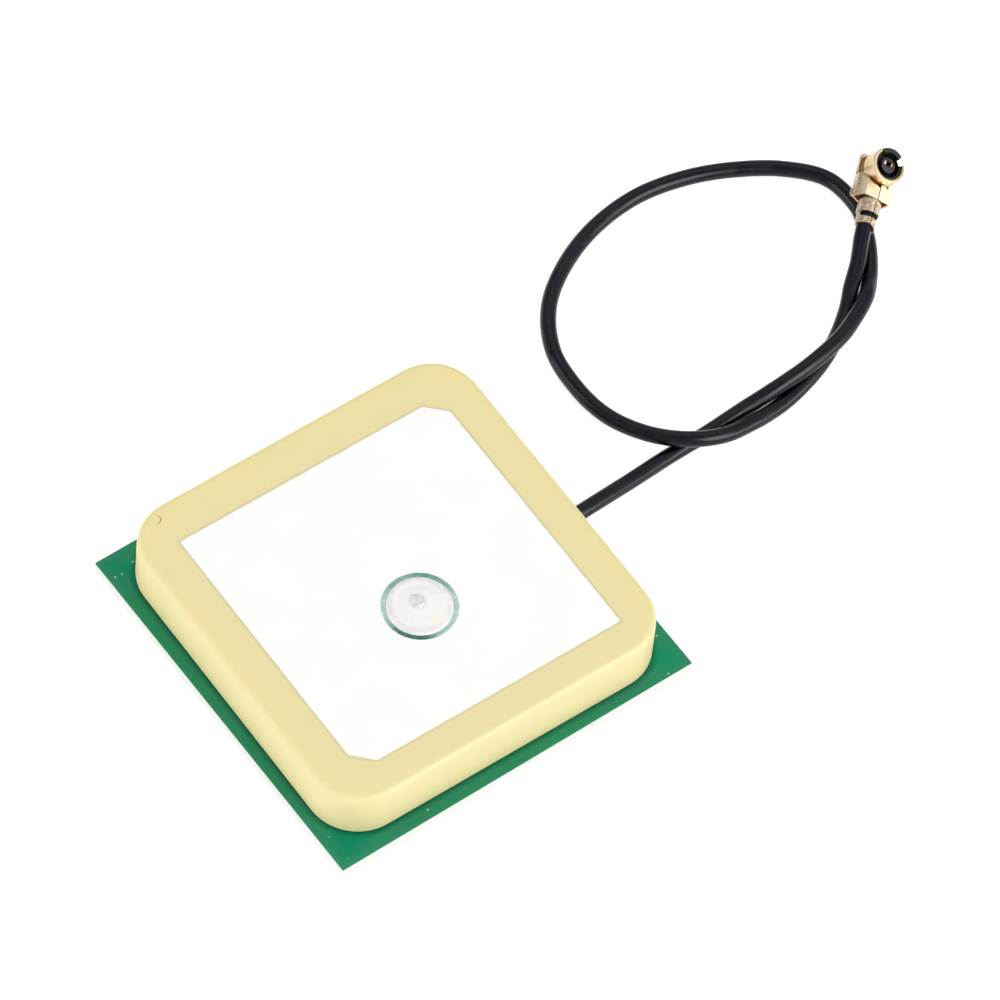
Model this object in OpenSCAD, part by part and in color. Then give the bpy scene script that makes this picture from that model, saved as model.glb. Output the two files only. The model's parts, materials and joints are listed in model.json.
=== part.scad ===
// Square ceramic patch antenna on an amplifier board, with a thin coaxial lead and a push-on plug.
// The origin is on the surface it stands on, under the middle of the board.
// +Z is up and the lead leaves on the +X side. All sizes are in millimetres.

/* [Board] */
// Width of the circuit board along X
board_w = 27; // [24:0.1:34]
// Depth of the circuit board along Y
board_d = 27; // [24:0.1:34]
// Thickness of the circuit board
board_t = 0.8; // [0.6:0.05:1.6]
// Thickness of the tinned copper lands under the board
land_t = 0.05; // [0.03:0.01:0.1]

/* [Ceramic] */
// Side of the square ceramic block
ceramic_w = 25.33; // [20:0.01:32]
// Thickness of the ceramic block
ceramic_t = 3.75; // [2:0.01:6]
// Radius of its upright corners
ceramic_corner_r = 3.4; // [1:0.1:6]
// Radius of its rounded top edge
ceramic_edge_r = 0.5; // [0.1:0.05:0.9]
// Turn of the block as it was glued down, in degrees
ceramic_turn = -0.8; // [-3:0.1:3]
// Offset of the block from the middle of the board along X
ceramic_x = 0.13; // [-1:0.01:1]
// Offset of the block from the middle of the board along Y
ceramic_y = 0.15; // [-1:0.05:1]
// Thickness of the adhesive pad under the block
pad_t = 0.12; // [0.05:0.01:0.5]
// How far the adhesive pad stops short of the block's edge
pad_inset = 0.4; // [0.1:0.1:2]

/* [Electrodes] */
// Thickness of the fired silver films
silver_t = 0.03; // [0.02:0.01:0.1]
// Side of the square patch on the top face
patch_w = 19.83; // [14:0.01:22]
// Cut across two opposite corners of the patch, along each side
patch_cut = 1.3; // [0.3:0.1:4]
// Offset of the patch from the middle of the block along Y
patch_y = -0.35; // [-1:0.05:1]
// Bare margin round the ground film on the underside
ground_margin = 0.5; // [0.2:0.1:2]
// Diameter of the gap in the ground film round the pin
ground_gap_d = 3.2; // [2:0.1:6]

/* [Feed] */
// Distance of the pin from the middle of the patch, toward -Y
feed_offset = 1.87; // [1:0.01:5]
// How far past the pin, toward -Y, the printed ring and its solder are centred
ring_shift = 0.33; // [0:0.01:0.5]
// Diameter of the pin's shank
pin_d = 0.8; // [0.5:0.05:1.2]
// Diameter of the pin's head
pin_head_d = 1.0; // [0.9:0.05:2]
// Height of the pin's head over the patch
pin_head_h = 0.26; // [0.1:0.02:0.6]
// Length of the pin that stands out under the board
pin_tail = 0.55; // [0.2:0.05:1]
// Clearance round the pin in the block and in the board
pin_clear = 0.1; // [0.02:0.01:0.3]
// Outer diameter of the printed solder stop ring
ring_d = 4.94; // [3:0.02:8]
// Width of the printed ring's line
ring_line = 0.33; // [0.1:0.01:0.5]
// Diameter of the raised middle of the top solder joint
solder_dome_d = 3.6; // [1.6:0.1:3.8]
// Thickness of the thin solder skirt inside the ring
solder_skirt_h = 0.06; // [0.03:0.01:0.1]
// Height of the top solder joint beside the pin's head
solder_dome_h = 0.22; // [0.12:0.02:0.5]
// Diameter of the solder joint under the board
solder_under_d = 2.2; // [1.4:0.1:3]

/* [Shield can] */
// Height of the shield can from the lands down to its flat face
can_h = 2.65; // [2.2:0.05:5]
// How far the can's walls stand in from the board's edge
can_inset = 1.7; // [1:0.1:4]
// Thickness of the can's tinned sheet
can_wall = 0.2; // [0.1:0.02:0.4]
// Radius of the can's upright corners
can_corner_r = 0.8; // [0.4:0.1:2]
// Radius of the can's folded edges
can_fold_r = 0.3; // [0.22:0.02:0.6]
// Width of the slit at each folded corner
can_slit = 0.2; // [0.05:0.05:0.4]
// Length of each solder fillet along the can's foot
can_fillet_l = 3; // [1:0.5:6]
// Leg of each solder fillet
can_fillet_h = 0.35; // [0.2:0.05:0.6]

/* [Lead] */
// Diameter of the lead's jacket
cable_d = 1.08; // [1:0.01:1.4]
// Diameter of the braid
braid_d = 0.88; // [0.72:0.01:0.95]
// Diameter of the dielectric
dielectric_d = 0.68; // [0.4:0.01:0.7]
// Diameter of the centre conductor
conductor_d = 0.24; // [0.15:0.01:0.3]
// Gap between the lead's jacket and the underside of the board
lead_gap = 0.035; // [0.01:0.005:0.1]
// Clearance of the can's notch round the lead
notch_clear = 0.15; // [0.05:0.05:0.5]
// Length of bare braid at the board
braid_bare = 1.6; // [0.8:0.1:3]
// Length of bare dielectric at the board
dielectric_bare = 0.7; // [0.3:0.1:1.5]
// Length of bare conductor at the board
conductor_bare = 1.1; // [0.5:0.1:2]

/* [Plug] */
// Thickness of the plug's gold-plated sheet
shell_t = 0.13; // [0.1:0.01:0.16]
// Inner radius of the plug's spring ring
ring_bore_r = 1.01; // [0.95:0.01:1.1]
// Outer radius of the rolled lip round the mouth
lip_r = 1.22; // [1.2:0.01:1.35]
// Height of the mouth over the lead's axis
mouth_h = 1.4; // [1.1:0.02:1.6]
// Depth of the plug's back face under the lead's jacket
back_h = 0.26; // [0.24:0.01:0.36]
// Angle left open at the front of the spring ring
ring_open = 115; // [60:1:150]
// Angle of the middle of that opening, from the front toward +Y of the plug
ring_open_at = -12.5; // [-40:0.5:40]
// Half width of the back plate and of the box behind the ring
box_w = 1.19; // [1.15:0.01:1.4]
// Offset of the box across the plug
box_y = -0.09; // [-0.15:0.01:0.15]
// Height of the box's folded top over the lead's axis
box_h = 0.49; // [0.48:0.01:0.7]
// Distance of the box's rear edge behind the mating axis
box_rear = 2.18; // [1.9:0.02:2.3]
// Gap of the seam between the two folded halves
seam_gap = 0.05; // [0.02:0.01:0.12]
// Place of that seam across the plug
seam_y = -0.25; // [-0.4:0.05:0.4]
// Distance of the braid crimp's front edge behind the mating axis
braid_crimp_front = 2.46; // [2.4:0.02:2.7]
// Distance of the braid crimp's rear edge behind the mating axis
braid_crimp_rear = 3.28; // [3.1:0.02:3.4]
// How much wider than the lead's jacket the bore of the braid crimp is, at each side
braid_crimp_ease = 0.1; // [0.06:0.01:0.12]
// Distance of the jacket crimp's front edge behind the mating axis
jacket_crimp_front = 3.63; // [3.5:0.02:3.8]
// Distance of the jacket crimp's rear edge behind the mating axis
jacket_crimp_rear = 4.05; // [3.9:0.05:4.6]
// Slant of the jacket crimp's rear edge across the plug, in degrees
jacket_crimp_slant = 5; // [-10:1:10]
// Reach of the pointed flap behind the jacket crimp
crimp_flap = 0.32; // [0.1:0.02:0.5]
// Angle over the plug's side at which the slot between the crimps begins
slot_from = 22; // [0:1:50]
// Depth of the insulator's face under the mouth
insulator_recess = 0.12; // [0.04:0.01:0.25]
// Height of the insulator's front wall over the mouth
front_wall_h = 0.05; // [0:0.01:0.1]
// Radius of the insulator's front wall
front_wall_r = 1.14; // [1.1:0.01:1.2]
// Distance of the contact's leaves in front of the mating axis
contact_x = 0.1; // [0:0.01:0.12]
// Radius of the insulator's middle boss
boss_r = 0.52; // [0.42:0.01:0.6]
// Width of the groove's outer wall in the insulator
insulator_rim = 0.17; // [0.1:0.01:0.25]
// Small clearance between the plug's pieces
plug_clear = 0.01; // [0.005:0.005:0.02]

/* [Hidden] */

// round shapes are exact; this only sets how finely they are drawn
$fn = 48;
eps = 0.01;

// heights of the stack, from the surface up
board_z = can_h + land_t;
board_top = board_z + board_t;
ground_z = board_top + pad_t;
ceramic_z = ground_z + silver_t;
patch_z = ceramic_z + ceramic_t;
patch_top = patch_z + silver_t;

// places in the block's own axes as the board sees them: the pin's, and the middle of the ring
function on_block(p) = [
    ceramic_x + cos(ceramic_turn) * p[0] - sin(ceramic_turn) * p[1],
    ceramic_y + sin(ceramic_turn) * p[0] + cos(ceramic_turn) * p[1]];
feed_at = on_block([0, patch_y - feed_offset]);
ring_at = on_block([0, patch_y - feed_offset - ring_shift]);

can_w = board_w - 2 * can_inset;
can_d = board_d - 2 * can_inset;
lead_z = board_z - lead_gap - cable_d / 2;

// the loop is drawn for a lead of this thickness: its heights follow the lead that is chosen, and a
// thicker one lies in a wider loop that starts at the same place
LOOP_D = 1.13;
LOOP_FROM = 15.3;
lift = cable_d / LOOP_D;
spread = max(1, lift);
function in_loop(p, up) = [LOOP_FROM + (p[0] - LOOP_FROM) * spread, p[1] * spread, p[2] * up];

// the plug lies across the lead: where its mating axis meets the lead's axis, and how it is turned
plug_at = in_loop([46.29, 10.3, 2.72], spread);
plug_heading = 41.5;
plug_pitch = 11;
plug_roll = 31.5;
// outer radius of the braid crimp, whose bore clears the end of the jacket
braid_crimp_r = cable_d / 2 + braid_crimp_ease + shell_t;
// depth of the plug's back face under the lead's axis
back_z = cable_d / 2 + back_h;
// where the jacket ends inside the plug, and how far straight lead leads up to it
jacket_end = 3.2;
lead_straight = 4.9;

function plug_forward() = [cos(plug_heading) * cos(plug_pitch),
    sin(plug_heading) * cos(plug_pitch), sin(plug_pitch)];
function on_plug_axis(x) = plug_at + x * plug_forward();

// the lead's route: out of the can, down to the surface, once round and up to the plug
LOOP = [
    [19, 0.6, 1.36], [22.6, 1.05, 0.69],
    [25.8, 1.15, 0.58], [28.6, 1.22, 0.77], [31.3, 1.07, 1.37], [34, 1.15, 1.71],
    [36.8, 1.7, 1.73], [38.65, 2.5, 1.57], [40.3, 3.45, 1.38], [41.5, 4.6, 0.83],
    [42.6, 5.95, 0.63], [43.6, 7.6, 0.58], [44.45, 9.8, 0.6], [44.15, 12.6, 0.62],
    [42.3, 14.8, 0.59], [39.7, 16.5, 0.59], [36.6, 17.8, 0.6], [33.1, 18.45, 0.59],
    [29.5, 18.1, 0.58], [26.1, 16.85, 0.58], [23.2, 14.8, 0.58], [21.35, 11.9, 0.58],
    [20.85, 8.8, 0.63], [21.05, 5.75, 0.94], [22.1, 3.1, 1.4], [23.8, 1.1, 1.74],
    [26.05, 0.05, 1.53], [28.4, -0.02, 1.01], [30.85, 0.19, 0.62], [33.15, 0.65, 0.58],
    [35.35, 1.4, 0.6], [37.2, 2.4, 0.6], [38.87, 3.59, 0.74], [40.15, 4.77, 1.17],
    [41.45, 5.85, 1.49]];
ROUTE = concat(
    [[9.5, 0, lead_z], [12.5, 0, lead_z], [LOOP_FROM, 0.15, lead_z - 0.08]],
    [for (p = LOOP) in_loop(p, lift)],
    [on_plug_axis(-lead_straight), on_plug_axis(-jacket_end)]);
CABLE_RINGS = 80;
CABLE_SIDES = 8;

// chip parts under the board: middle of each, and the turn of its long side
CHIP = [1.0, 0.5, 0.5];
RESISTOR = [1.0, 0.5, 0.35];
CAPACITOR_PLACES = [[-5.9, -2.4, 0], [-7.4, 0.2, 90], [-5.3, 3.4, 0], [-0.6, 3.4, 0],
    [2.4, 2.6, 90], [4.4, 2.4, 90]];
RESISTOR_PLACES = [[-3.8, -5.2, 0], [-7.4, 6.2, 0], [1.2, 6.0, 0]];
INDUCTOR_PLACES = [[-1.9, -2.4, 0], [-3.0, 3.4, 0]];
AMPLIFIER_PLACES = [[-3.9, -2.4], [-7.4, 3.4]];
SAW_PLACE = [-7.9, -2.4];
CHIP_LAND = 0.35;

module square_round(w, d, r) {
    // rectangle with round corners, made of exact straight and round pieces
    square([w - 2 * r, d], center = true);
    square([w, d - 2 * r], center = true);
    for (x = [-1, 1], y = [-1, 1])
        translate([x * (w / 2 - r), y * (d / 2 - r)]) circle(r);
}

module edge_section(w, h, e) {
    // upright section of a plate whose two top edges are rounded
    translate([-w / 2, 0]) square([w, h - e]);
    translate([-w / 2 + e, 0]) square([w - 2 * e, h]);
    for (x = [-1, 1]) translate([x * (w / 2 - e), h - e]) circle(e);
}

module soft_plate(w, d, h, r, e) {
    // plate with upright corners of radius r and a top edge rounded to radius e
    rotate([90, 0, 90]) linear_extrude(w - 2 * r, center = true) edge_section(d, h, e);
    rotate([90, 0, 0]) linear_extrude(d - 2 * r, center = true) edge_section(w, h, e);
    for (x = [-1, 1], y = [-1, 1])
        translate([x * (w / 2 - r), y * (d / 2 - r), 0])
            rotate_extrude() intersection() {
                edge_section(2 * r, h, e);
                square([r, h]);
            }
}

module on_block(z) {
    // into the block's own axes at height z
    translate([ceramic_x, ceramic_y, z]) rotate(ceramic_turn) children();
}

module at_feed(z) {
    translate([feed_at[0], feed_at[1], z]) children();
}

module under_board(place, turn) {
    // hangs a chip part from the lands: its own +Z points down from the land
    translate([place[0], place[1], can_h]) rotate([180, 0, turn]) children();
}

module on_plug() {
    translate(plug_at) rotate([0, 0, plug_heading]) rotate([0, -plug_pitch, 0])
        rotate([plug_roll, 0, 0]) children();
}

module along_x(from, to) {
    // lays a child that stands on Z along the plug's X, between two places
    translate([from, 0, 0]) rotate([0, 90, 0]) linear_extrude(to - from) children();
}

module ceramic_block() {
    color([0.94, 0.89, 0.68])
    difference() {
        on_block(ceramic_z)
            soft_plate(ceramic_w, ceramic_w, ceramic_t, ceramic_corner_r, ceramic_edge_r);
        at_feed(ceramic_z - 1) cylinder(d = pin_d + 2 * pin_clear, h = ceramic_t + 2);
    }
}

module patch_outline() {
    h = patch_w / 2;
    polygon([[-h, -h + patch_cut], [-h + patch_cut, -h], [h, -h],
        [h, h - patch_cut], [h - patch_cut, h], [-h, h]]);
}

module patch_electrode() {
    color([0.93, 0.93, 0.92])
    difference() {
        on_block(patch_z) translate([0, patch_y]) linear_extrude(silver_t) patch_outline();
        at_feed(patch_z - 1) cylinder(d = pin_d + 2 * pin_clear, h = silver_t + 2);
    }
}

module ground_electrode() {
    side = ceramic_w - 2 * ground_margin;
    color([0.9, 0.9, 0.89])
    difference() {
        on_block(ground_z) linear_extrude(silver_t)
            square_round(side, side, ceramic_corner_r - ground_margin / 2);
        at_feed(ground_z - 1) cylinder(d = ground_gap_d, h = silver_t + 2);
    }
}

module adhesive_pad() {
    side = ceramic_w - 2 * pad_inset;
    color([0.95, 0.93, 0.86])
    difference() {
        on_block(board_top) linear_extrude(pad_t)
            square_round(side, side, ceramic_corner_r - pad_inset / 2);
        at_feed(board_top - 1) cylinder(d = ground_gap_d, h = pad_t + 2);
    }
}

module solder_stop_ring() {
    color([0.25, 0.6, 0.5])
    translate([ring_at[0], ring_at[1], patch_top]) rotate_extrude()
        translate([ring_d / 2 - ring_line, 0]) square([ring_line, silver_t]);
}

module feed_pin() {
    low = board_z - pin_tail;
    color([0.8, 0.8, 0.78])
    union() {
        at_feed(low + pin_d / 4) cylinder(d = pin_d, h = patch_top - low - pin_d / 4 + eps);
        at_feed(low) cylinder(d1 = pin_d / 2, d2 = pin_d, h = pin_d / 4);
        at_feed(patch_top) cylinder(d = pin_head_d, h = pin_head_h);
    }
}

module dome_section(r, h) {
    // half section of a low dome of base radius r and height h; only the top of its large circle
    // is used, so that circle is drawn finely
    ball = (r * r + h * h) / (2 * h);
    intersection() {
        translate([0, h - ball]) circle(ball, $fn = 360);
        square([r, h]);
    }
}

module feed_solder_top() {
    skirt_r = ring_d / 2 - ring_line - plug_clear;
    color([0.9, 0.89, 0.87])
    difference() {
        translate([ring_at[0], ring_at[1], patch_top]) rotate_extrude() {
            square([skirt_r, solder_skirt_h]);
            translate([0, solder_skirt_h])
                dome_section(solder_dome_d / 2, solder_dome_h - solder_skirt_h);
        }
        at_feed(patch_top - 1) cylinder(d = pin_head_d, h = pin_head_h + 2);
    }
}

module feed_solder_bottom() {
    color([0.85, 0.85, 0.84])
    difference() {
        at_feed(board_z - pin_tail * 0.8)
            cylinder(d1 = pin_d + 0.2, d2 = solder_under_d, h = pin_tail * 0.8);
        at_feed(board_z - 1) cylinder(d = pin_d, h = 2);
    }
}

module circuit_board() {
    color([0.16, 0.5, 0.37])
    difference() {
        translate([-board_w / 2, -board_d / 2, board_z]) cube([board_w, board_d, board_t]);
        at_feed(board_z - 1) cylinder(d = pin_d + 2 * pin_clear, h = board_t + 2);
    }
}

module chip_lands(place, size) {
    // a pair of lands under the ends of a chip part
    translate([place[0], place[1]]) rotate(place[2])
        for (x = [-1, 1]) translate([x * (size[0] - CHIP_LAND + 0.1) / 2, 0])
            square([CHIP_LAND, size[1] + 0.1], center = true);
}

module copper_lands() {
    frame_out = 2 * (can_fillet_h + 0.1);
    frame_in = 2 * (can_wall + 0.5);
    braid_mid = ROUTE[0][0] - braid_bare / 2;
    core_mid = ROUTE[0][0] - braid_bare - dielectric_bare - conductor_bare / 2;
    color([0.8, 0.8, 0.78])
    translate([0, 0, can_h]) linear_extrude(land_t) {
        difference() {
            square_round(can_w + frame_out, can_d + frame_out, can_corner_r + frame_out / 2);
            square_round(can_w - frame_in, can_d - frame_in, can_corner_r);
        }
        for (p = CAPACITOR_PLACES) chip_lands(p, CHIP);
        for (p = INDUCTOR_PLACES) chip_lands(p, CHIP);
        for (p = RESISTOR_PLACES) chip_lands(p, RESISTOR);
        for (p = AMPLIFIER_PLACES, x = [-1, 1], y = [-1, 1])
            translate([p[0] + x * 0.65, p[1] + y * 0.95]) square([0.4, 0.5], center = true);
        for (x = [-1, 1], y = [-1, 1])
            translate([SAW_PLACE[0] + x * 0.45, SAW_PLACE[1] + y * 0.35])
                square([0.35, 0.3], center = true);
        translate([braid_mid, 0]) square([braid_bare - 0.2, 2.4], center = true);
        translate([core_mid, 0]) square([conductor_bare - 0.1, 0.9], center = true);
    }
}

module can_notch() {
    // the cut in the +X wall that lets the lead out
    half = cable_d / 2 + notch_clear;
    reach = can_inset + can_wall + 1;
    translate([can_w / 2 - can_wall - 0.5, 0, 0]) {
        translate([0, 0, lead_z]) rotate([0, 90, 0]) cylinder(r = half, h = reach);
        translate([0, -half, lead_z]) cube([reach, 2 * half, can_h]);
    }
}

module shield_can() {
    inner_w = can_w - 2 * can_wall;
    inner_d = can_d - 2 * can_wall;
    slit_z = can_fold_r + 0.3;
    color([0.78, 0.78, 0.76])
    difference() {
        translate([0, 0, can_h]) rotate([180, 0, 0])
            soft_plate(can_w, can_d, can_h, can_corner_r, can_fold_r);
        translate([0, 0, can_wall]) linear_extrude(can_h)
            square_round(inner_w, inner_d, can_corner_r - can_wall);
        for (x = [-1, 1], y = [-1, 1])
            translate([x * (can_w / 2 - can_corner_r), y * (can_d / 2 - can_corner_r), slit_z])
                rotate(atan2(y, x)) translate([0, -can_slit / 2, 0])
                    cube([can_corner_r + 1, can_slit, can_h]);
        can_notch();
    }
}

module fillet_run(length) {
    // solder fillet in the corner between a wall at x = 0 and the land above
    rotate([90, 0, 0]) linear_extrude(length, center = true) difference() {
        translate([0, -can_fillet_h]) square(can_fillet_h);
        translate([can_fillet_h, -can_fillet_h]) circle(can_fillet_h * 0.98);
    }
}

module can_solder() {
    color([0.86, 0.86, 0.85])
    for (s = [-1, 1]) {
        for (side = [0, 180]) rotate(side)
            translate([can_w / 2, s * can_d / 4, can_h]) fillet_run(can_fillet_l);
        for (side = [90, 270]) rotate(side)
            translate([can_d / 2, s * can_w / 4, can_h]) fillet_run(can_fillet_l);
    }
}

module chip_part(size) {
    // chip with its two plated ends standing slightly proud
    cap = 0.22;
    proud = 0.02;
    translate([-size[0] / 2 + eps, -size[1] / 2 + proud, proud])
        cube([size[0] - 2 * eps, size[1] - 2 * proud, size[2] - 2 * proud]);
    for (x = [-size[0] / 2, size[0] / 2 - cap])
        translate([x, -size[1] / 2, 0]) cube([cap, size[1], size[2]]);
}

module capacitors() {
    color([0.62, 0.48, 0.36]) for (p = CAPACITOR_PLACES) under_board(p, p[2]) chip_part(CHIP);
}

module resistors() {
    color([0.15, 0.15, 0.16]) for (p = RESISTOR_PLACES) under_board(p, p[2]) chip_part(RESISTOR);
}

module inductors() {
    color([0.75, 0.8, 0.82]) for (p = INDUCTOR_PLACES) under_board(p, p[2]) chip_part(CHIP);
}

module amplifier_chip() {
    // moulded body with four bent leads
    body = [2.0, 1.25, 0.85];
    stand = 0.06;
    lead = [0.3, 0.13];
    foot = 0.3;
    translate([-body[0] / 2, -body[1] / 2, stand]) cube(body);
    for (x = [-0.65, 0.65], y = [-1, 1])
        translate([x, y * body[1] / 2, 0]) scale([1, y, 1]) {
            translate([-lead[0] / 2, -eps, 0.35]) cube([lead[0], 0.22, lead[1]]);
            translate([-lead[0] / 2, 0.1, 0]) cube([lead[0], lead[1], 0.48]);
            translate([-lead[0] / 2, 0.1, 0]) cube([lead[0], lead[1] + foot, lead[1]]);
        }
}

module amplifier_first() {
    color([0.1, 0.1, 0.11]) under_board(AMPLIFIER_PLACES[0], 0) amplifier_chip();
}

module amplifier_second() {
    color([0.1, 0.1, 0.11]) under_board(AMPLIFIER_PLACES[1], 0) amplifier_chip();
}

module saw_filter() {
    body = [1.4, 1.1, 0.4];
    lid = 0.12;
    color([0.7, 0.66, 0.55]) under_board(SAW_PLACE, 0) {
        translate([-body[0] / 2, -body[1] / 2, 0]) cube(body);
        translate([0, 0, body[2] - eps]) linear_extrude(lid)
            square_round(body[0] - 0.2, body[1] - 0.2, 0.1);
    }
}

module braid_solder() {
    // mound that holds the bare braid to its land
    mid = ROUTE[0][0] - braid_bare / 2;
    low = lead_z - braid_d / 4;
    color([0.85, 0.85, 0.84])
    difference() {
        translate([mid, 0, low]) linear_extrude(can_h - low)
            square_round(braid_bare - 0.5, 1.9, 0.35);
        translate([mid - braid_bare, 0, lead_z]) rotate([0, 90, 0])
            cylinder(d = braid_d, h = 2 * braid_bare);
    }
}

module core_solder() {
    // mound that holds the bare conductor to its land
    mid = ROUTE[0][0] - braid_bare - dielectric_bare - conductor_bare / 2;
    low = lead_z - conductor_d / 4;
    color([0.85, 0.85, 0.84])
    difference() {
        translate([mid, 0, low]) linear_extrude(can_h - low)
            square_round(conductor_bare - 0.4, 0.7, 0.2);
        translate([mid - conductor_bare, 0, lead_z]) rotate([0, 90, 0])
            cylinder(d = conductor_d, h = 2 * conductor_bare);
    }
}

// smooth curve through the route's points
function route_point(i) = let (n = len(ROUTE))
    i < 0 ? 2 * ROUTE[0] - ROUTE[1] :
    i > n - 1 ? 2 * ROUTE[n - 1] - ROUTE[n - 2] : ROUTE[i];
function curve(t) = let (
        i = min(floor(t), len(ROUTE) - 2), f = t - i,
        a = route_point(i - 1), b = route_point(i), c = route_point(i + 1), d = route_point(i + 2))
    0.5 * (2 * b + (c - a) * f + (2 * a - 5 * b + 4 * c - d) * f * f
        + (3 * b - a - 3 * c + d) * f * f * f);
function unit(v) = v / norm(v);
function heading_at(t) = unit(curve(min(t + 0.02, len(ROUTE) - 1)) - curve(max(t - 0.02, 0)));

module cable_jacket() {
    steps = CABLE_RINGS - 1;
    r = cable_d / 2;
    rings = [for (k = [0 : steps])
        let (t = k / steps * (len(ROUTE) - 1), p = curve(t), u = heading_at(t),
            s = unit(cross([0, 0, 1], u)), w = cross(u, s))
        for (j = [0 : CABLE_SIDES - 1])
            let (a = 360 * (j + 0.5) / CABLE_SIDES) p + r * (cos(a) * s + sin(a) * w)];
    walls = [for (k = [0 : steps - 1], j = [0 : CABLE_SIDES - 1])
        let (j2 = (j + 1) % CABLE_SIDES, a = k * CABLE_SIDES, b = a + CABLE_SIDES)
        [a + j, b + j, b + j2, a + j2]];
    ends = [[for (j = [0 : CABLE_SIDES - 1]) j],
        [for (j = [CABLE_SIDES - 1 : -1 : 0]) steps * CABLE_SIDES + j]];
    color([0.12, 0.12, 0.13]) polyhedron(rings, concat(walls, ends), convexity = 10);
}

module lead_stub(d, bore, from, to) {
    // a bare layer of the lead at the board, between two distances from the jacket's end
    translate([ROUTE[0][0] - to, 0, lead_z]) rotate([0, 90, 0]) difference() {
        cylinder(d = d, h = to - from);
        if (bore > 0) translate([0, 0, -1]) cylinder(d = bore, h = to - from + 2);
    }
}

module plug_stub(d, bore, from, to) {
    // a bare layer of the lead in the plug, between two distances behind the mating axis
    on_plug() translate([-from, 0, 0]) rotate([0, 90, 0]) difference() {
        cylinder(d = d, h = from - to);
        if (bore > 0) translate([0, 0, -1]) cylinder(d = bore, h = from - to + 2);
    }
}

// where each bare layer ends inside the plug, behind the mating axis
braid_end = 2.3;
dielectric_end = 0.75;
conductor_end = 0.05;
braid_flared_d = 2 * (braid_crimp_r - shell_t - plug_clear);

module cable_braid() {
    color([0.75, 0.74, 0.7]) {
        lead_stub(braid_d, dielectric_d, 0, braid_bare);
        plug_stub(braid_flared_d, dielectric_d, jacket_end, braid_end);
    }
}

module cable_dielectric() {
    color([0.93, 0.93, 0.91]) {
        lead_stub(dielectric_d, conductor_d, 0, braid_bare + dielectric_bare);
        plug_stub(dielectric_d, conductor_d, jacket_end, dielectric_end);
    }
}

module cable_conductor() {
    color([0.8, 0.78, 0.74]) {
        lead_stub(conductor_d, 0, 0, braid_bare + dielectric_bare + conductor_bare);
        plug_stub(conductor_d, 0, jacket_end, conductor_end);
    }
}

module spring_ring() {
    // ring that snaps over the socket, open at the front, with a rolled lip round its mouth
    lip_h = lip_r - ring_bore_r;
    lip_z = mouth_h - lip_h / 2;
    rotate(ring_open_at + ring_open / 2) rotate_extrude(angle = 360 - ring_open) {
        translate([ring_bore_r, -back_z]) square([shell_t, lip_z + back_z]);
        translate([ring_bore_r, lip_z - lip_h / 2]) square([lip_h / 2, lip_h]);
        translate([ring_bore_r + lip_h / 2, lip_z]) circle(lip_h / 2);
    }
}

module ring_recess(from, to, low, high) {
    // shallow pressed recess in the outside of the spring ring, between two angles
    depth = 0.09;
    rotate(from) rotate_extrude(angle = to - from)
        translate([ring_bore_r + shell_t - depth, low]) square([depth + 0.1, high - low]);
}

module back_plate() {
    // flat back: square-cornered round the ring, flared, then narrowed to the crimps
    flare = 0.09;
    neck = 0.5;
    translate([0, box_y, -back_z]) linear_extrude(shell_t) {
        intersection() {
            circle(r = 1.19 * box_w);
            translate([-box_w, -box_w]) square([box_w + 1.05, 2 * box_w]);
        }
        polygon([for (side = [1, -1], k = side > 0 ? [0 : 5] : [5 : -1 : 0])
            let (edge = [[0, box_w], [-box_rear + 0.6, box_w], [-box_rear + 0.42, box_w + flare],
                [-box_rear + 0.15, box_w + flare], [-box_rear - 0.2, neck],
                [-braid_crimp_front - 0.1, neck]])
            [edge[k][0], side * edge[k][1]]]);
    }
}

module wing(side) {
    // half of the box: rises from the back plate and folds in over the lead as far as the seam
    bevel_y = side > 0 ? 0.34 : 0.16;
    bevel_z = side > 0 ? 0.8 : 0.16;
    lift = side > 0 ? 0 : 0.03;
    top = box_h + lift;
    seam = side * (seam_y - box_y) + seam_gap / 2;
    inner = box_w - shell_t;
    section = [[box_w, -back_z], [box_w, top - bevel_z], [box_w - bevel_y, top], [seam, top],
        [seam, top - shell_t], [box_w - bevel_y - shell_t / 2, top - shell_t],
        [inner, top - bevel_z - shell_t / 2], [inner, -back_z]];
    difference() {
        translate([-box_rear, box_y, 0]) rotate([90, 0, 90]) linear_extrude(box_rear - 0.6)
            polygon([for (p = section) [side * p[0], p[1]]]);
        translate([0, 0, -back_z + shell_t])
            cylinder(r = ring_bore_r + shell_t + 0.03, h = 3);
        // slanted front edge of the left half, and the small hole in the right one
        if (side > 0) translate([0, 0, -0.25]) linear_extrude(2)
            polygon([[-1.02, 0.6], [-1.45, -0.4], [0, -0.4], [0, 0.6]]);
        if (side < 0) translate([-1.14, -0.72, 0]) cylinder(r = 0.11, h = 2);
    }
}

module crimp_band(front, rear, r) {
    // band folded round the lead, with a fine seam on top
    along_x(-rear, -front) difference() {
        circle(r);
        circle(r - shell_t);
        translate([-r - 1, -seam_gap / 2]) square([r + 1, seam_gap]);
    }
}

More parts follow.
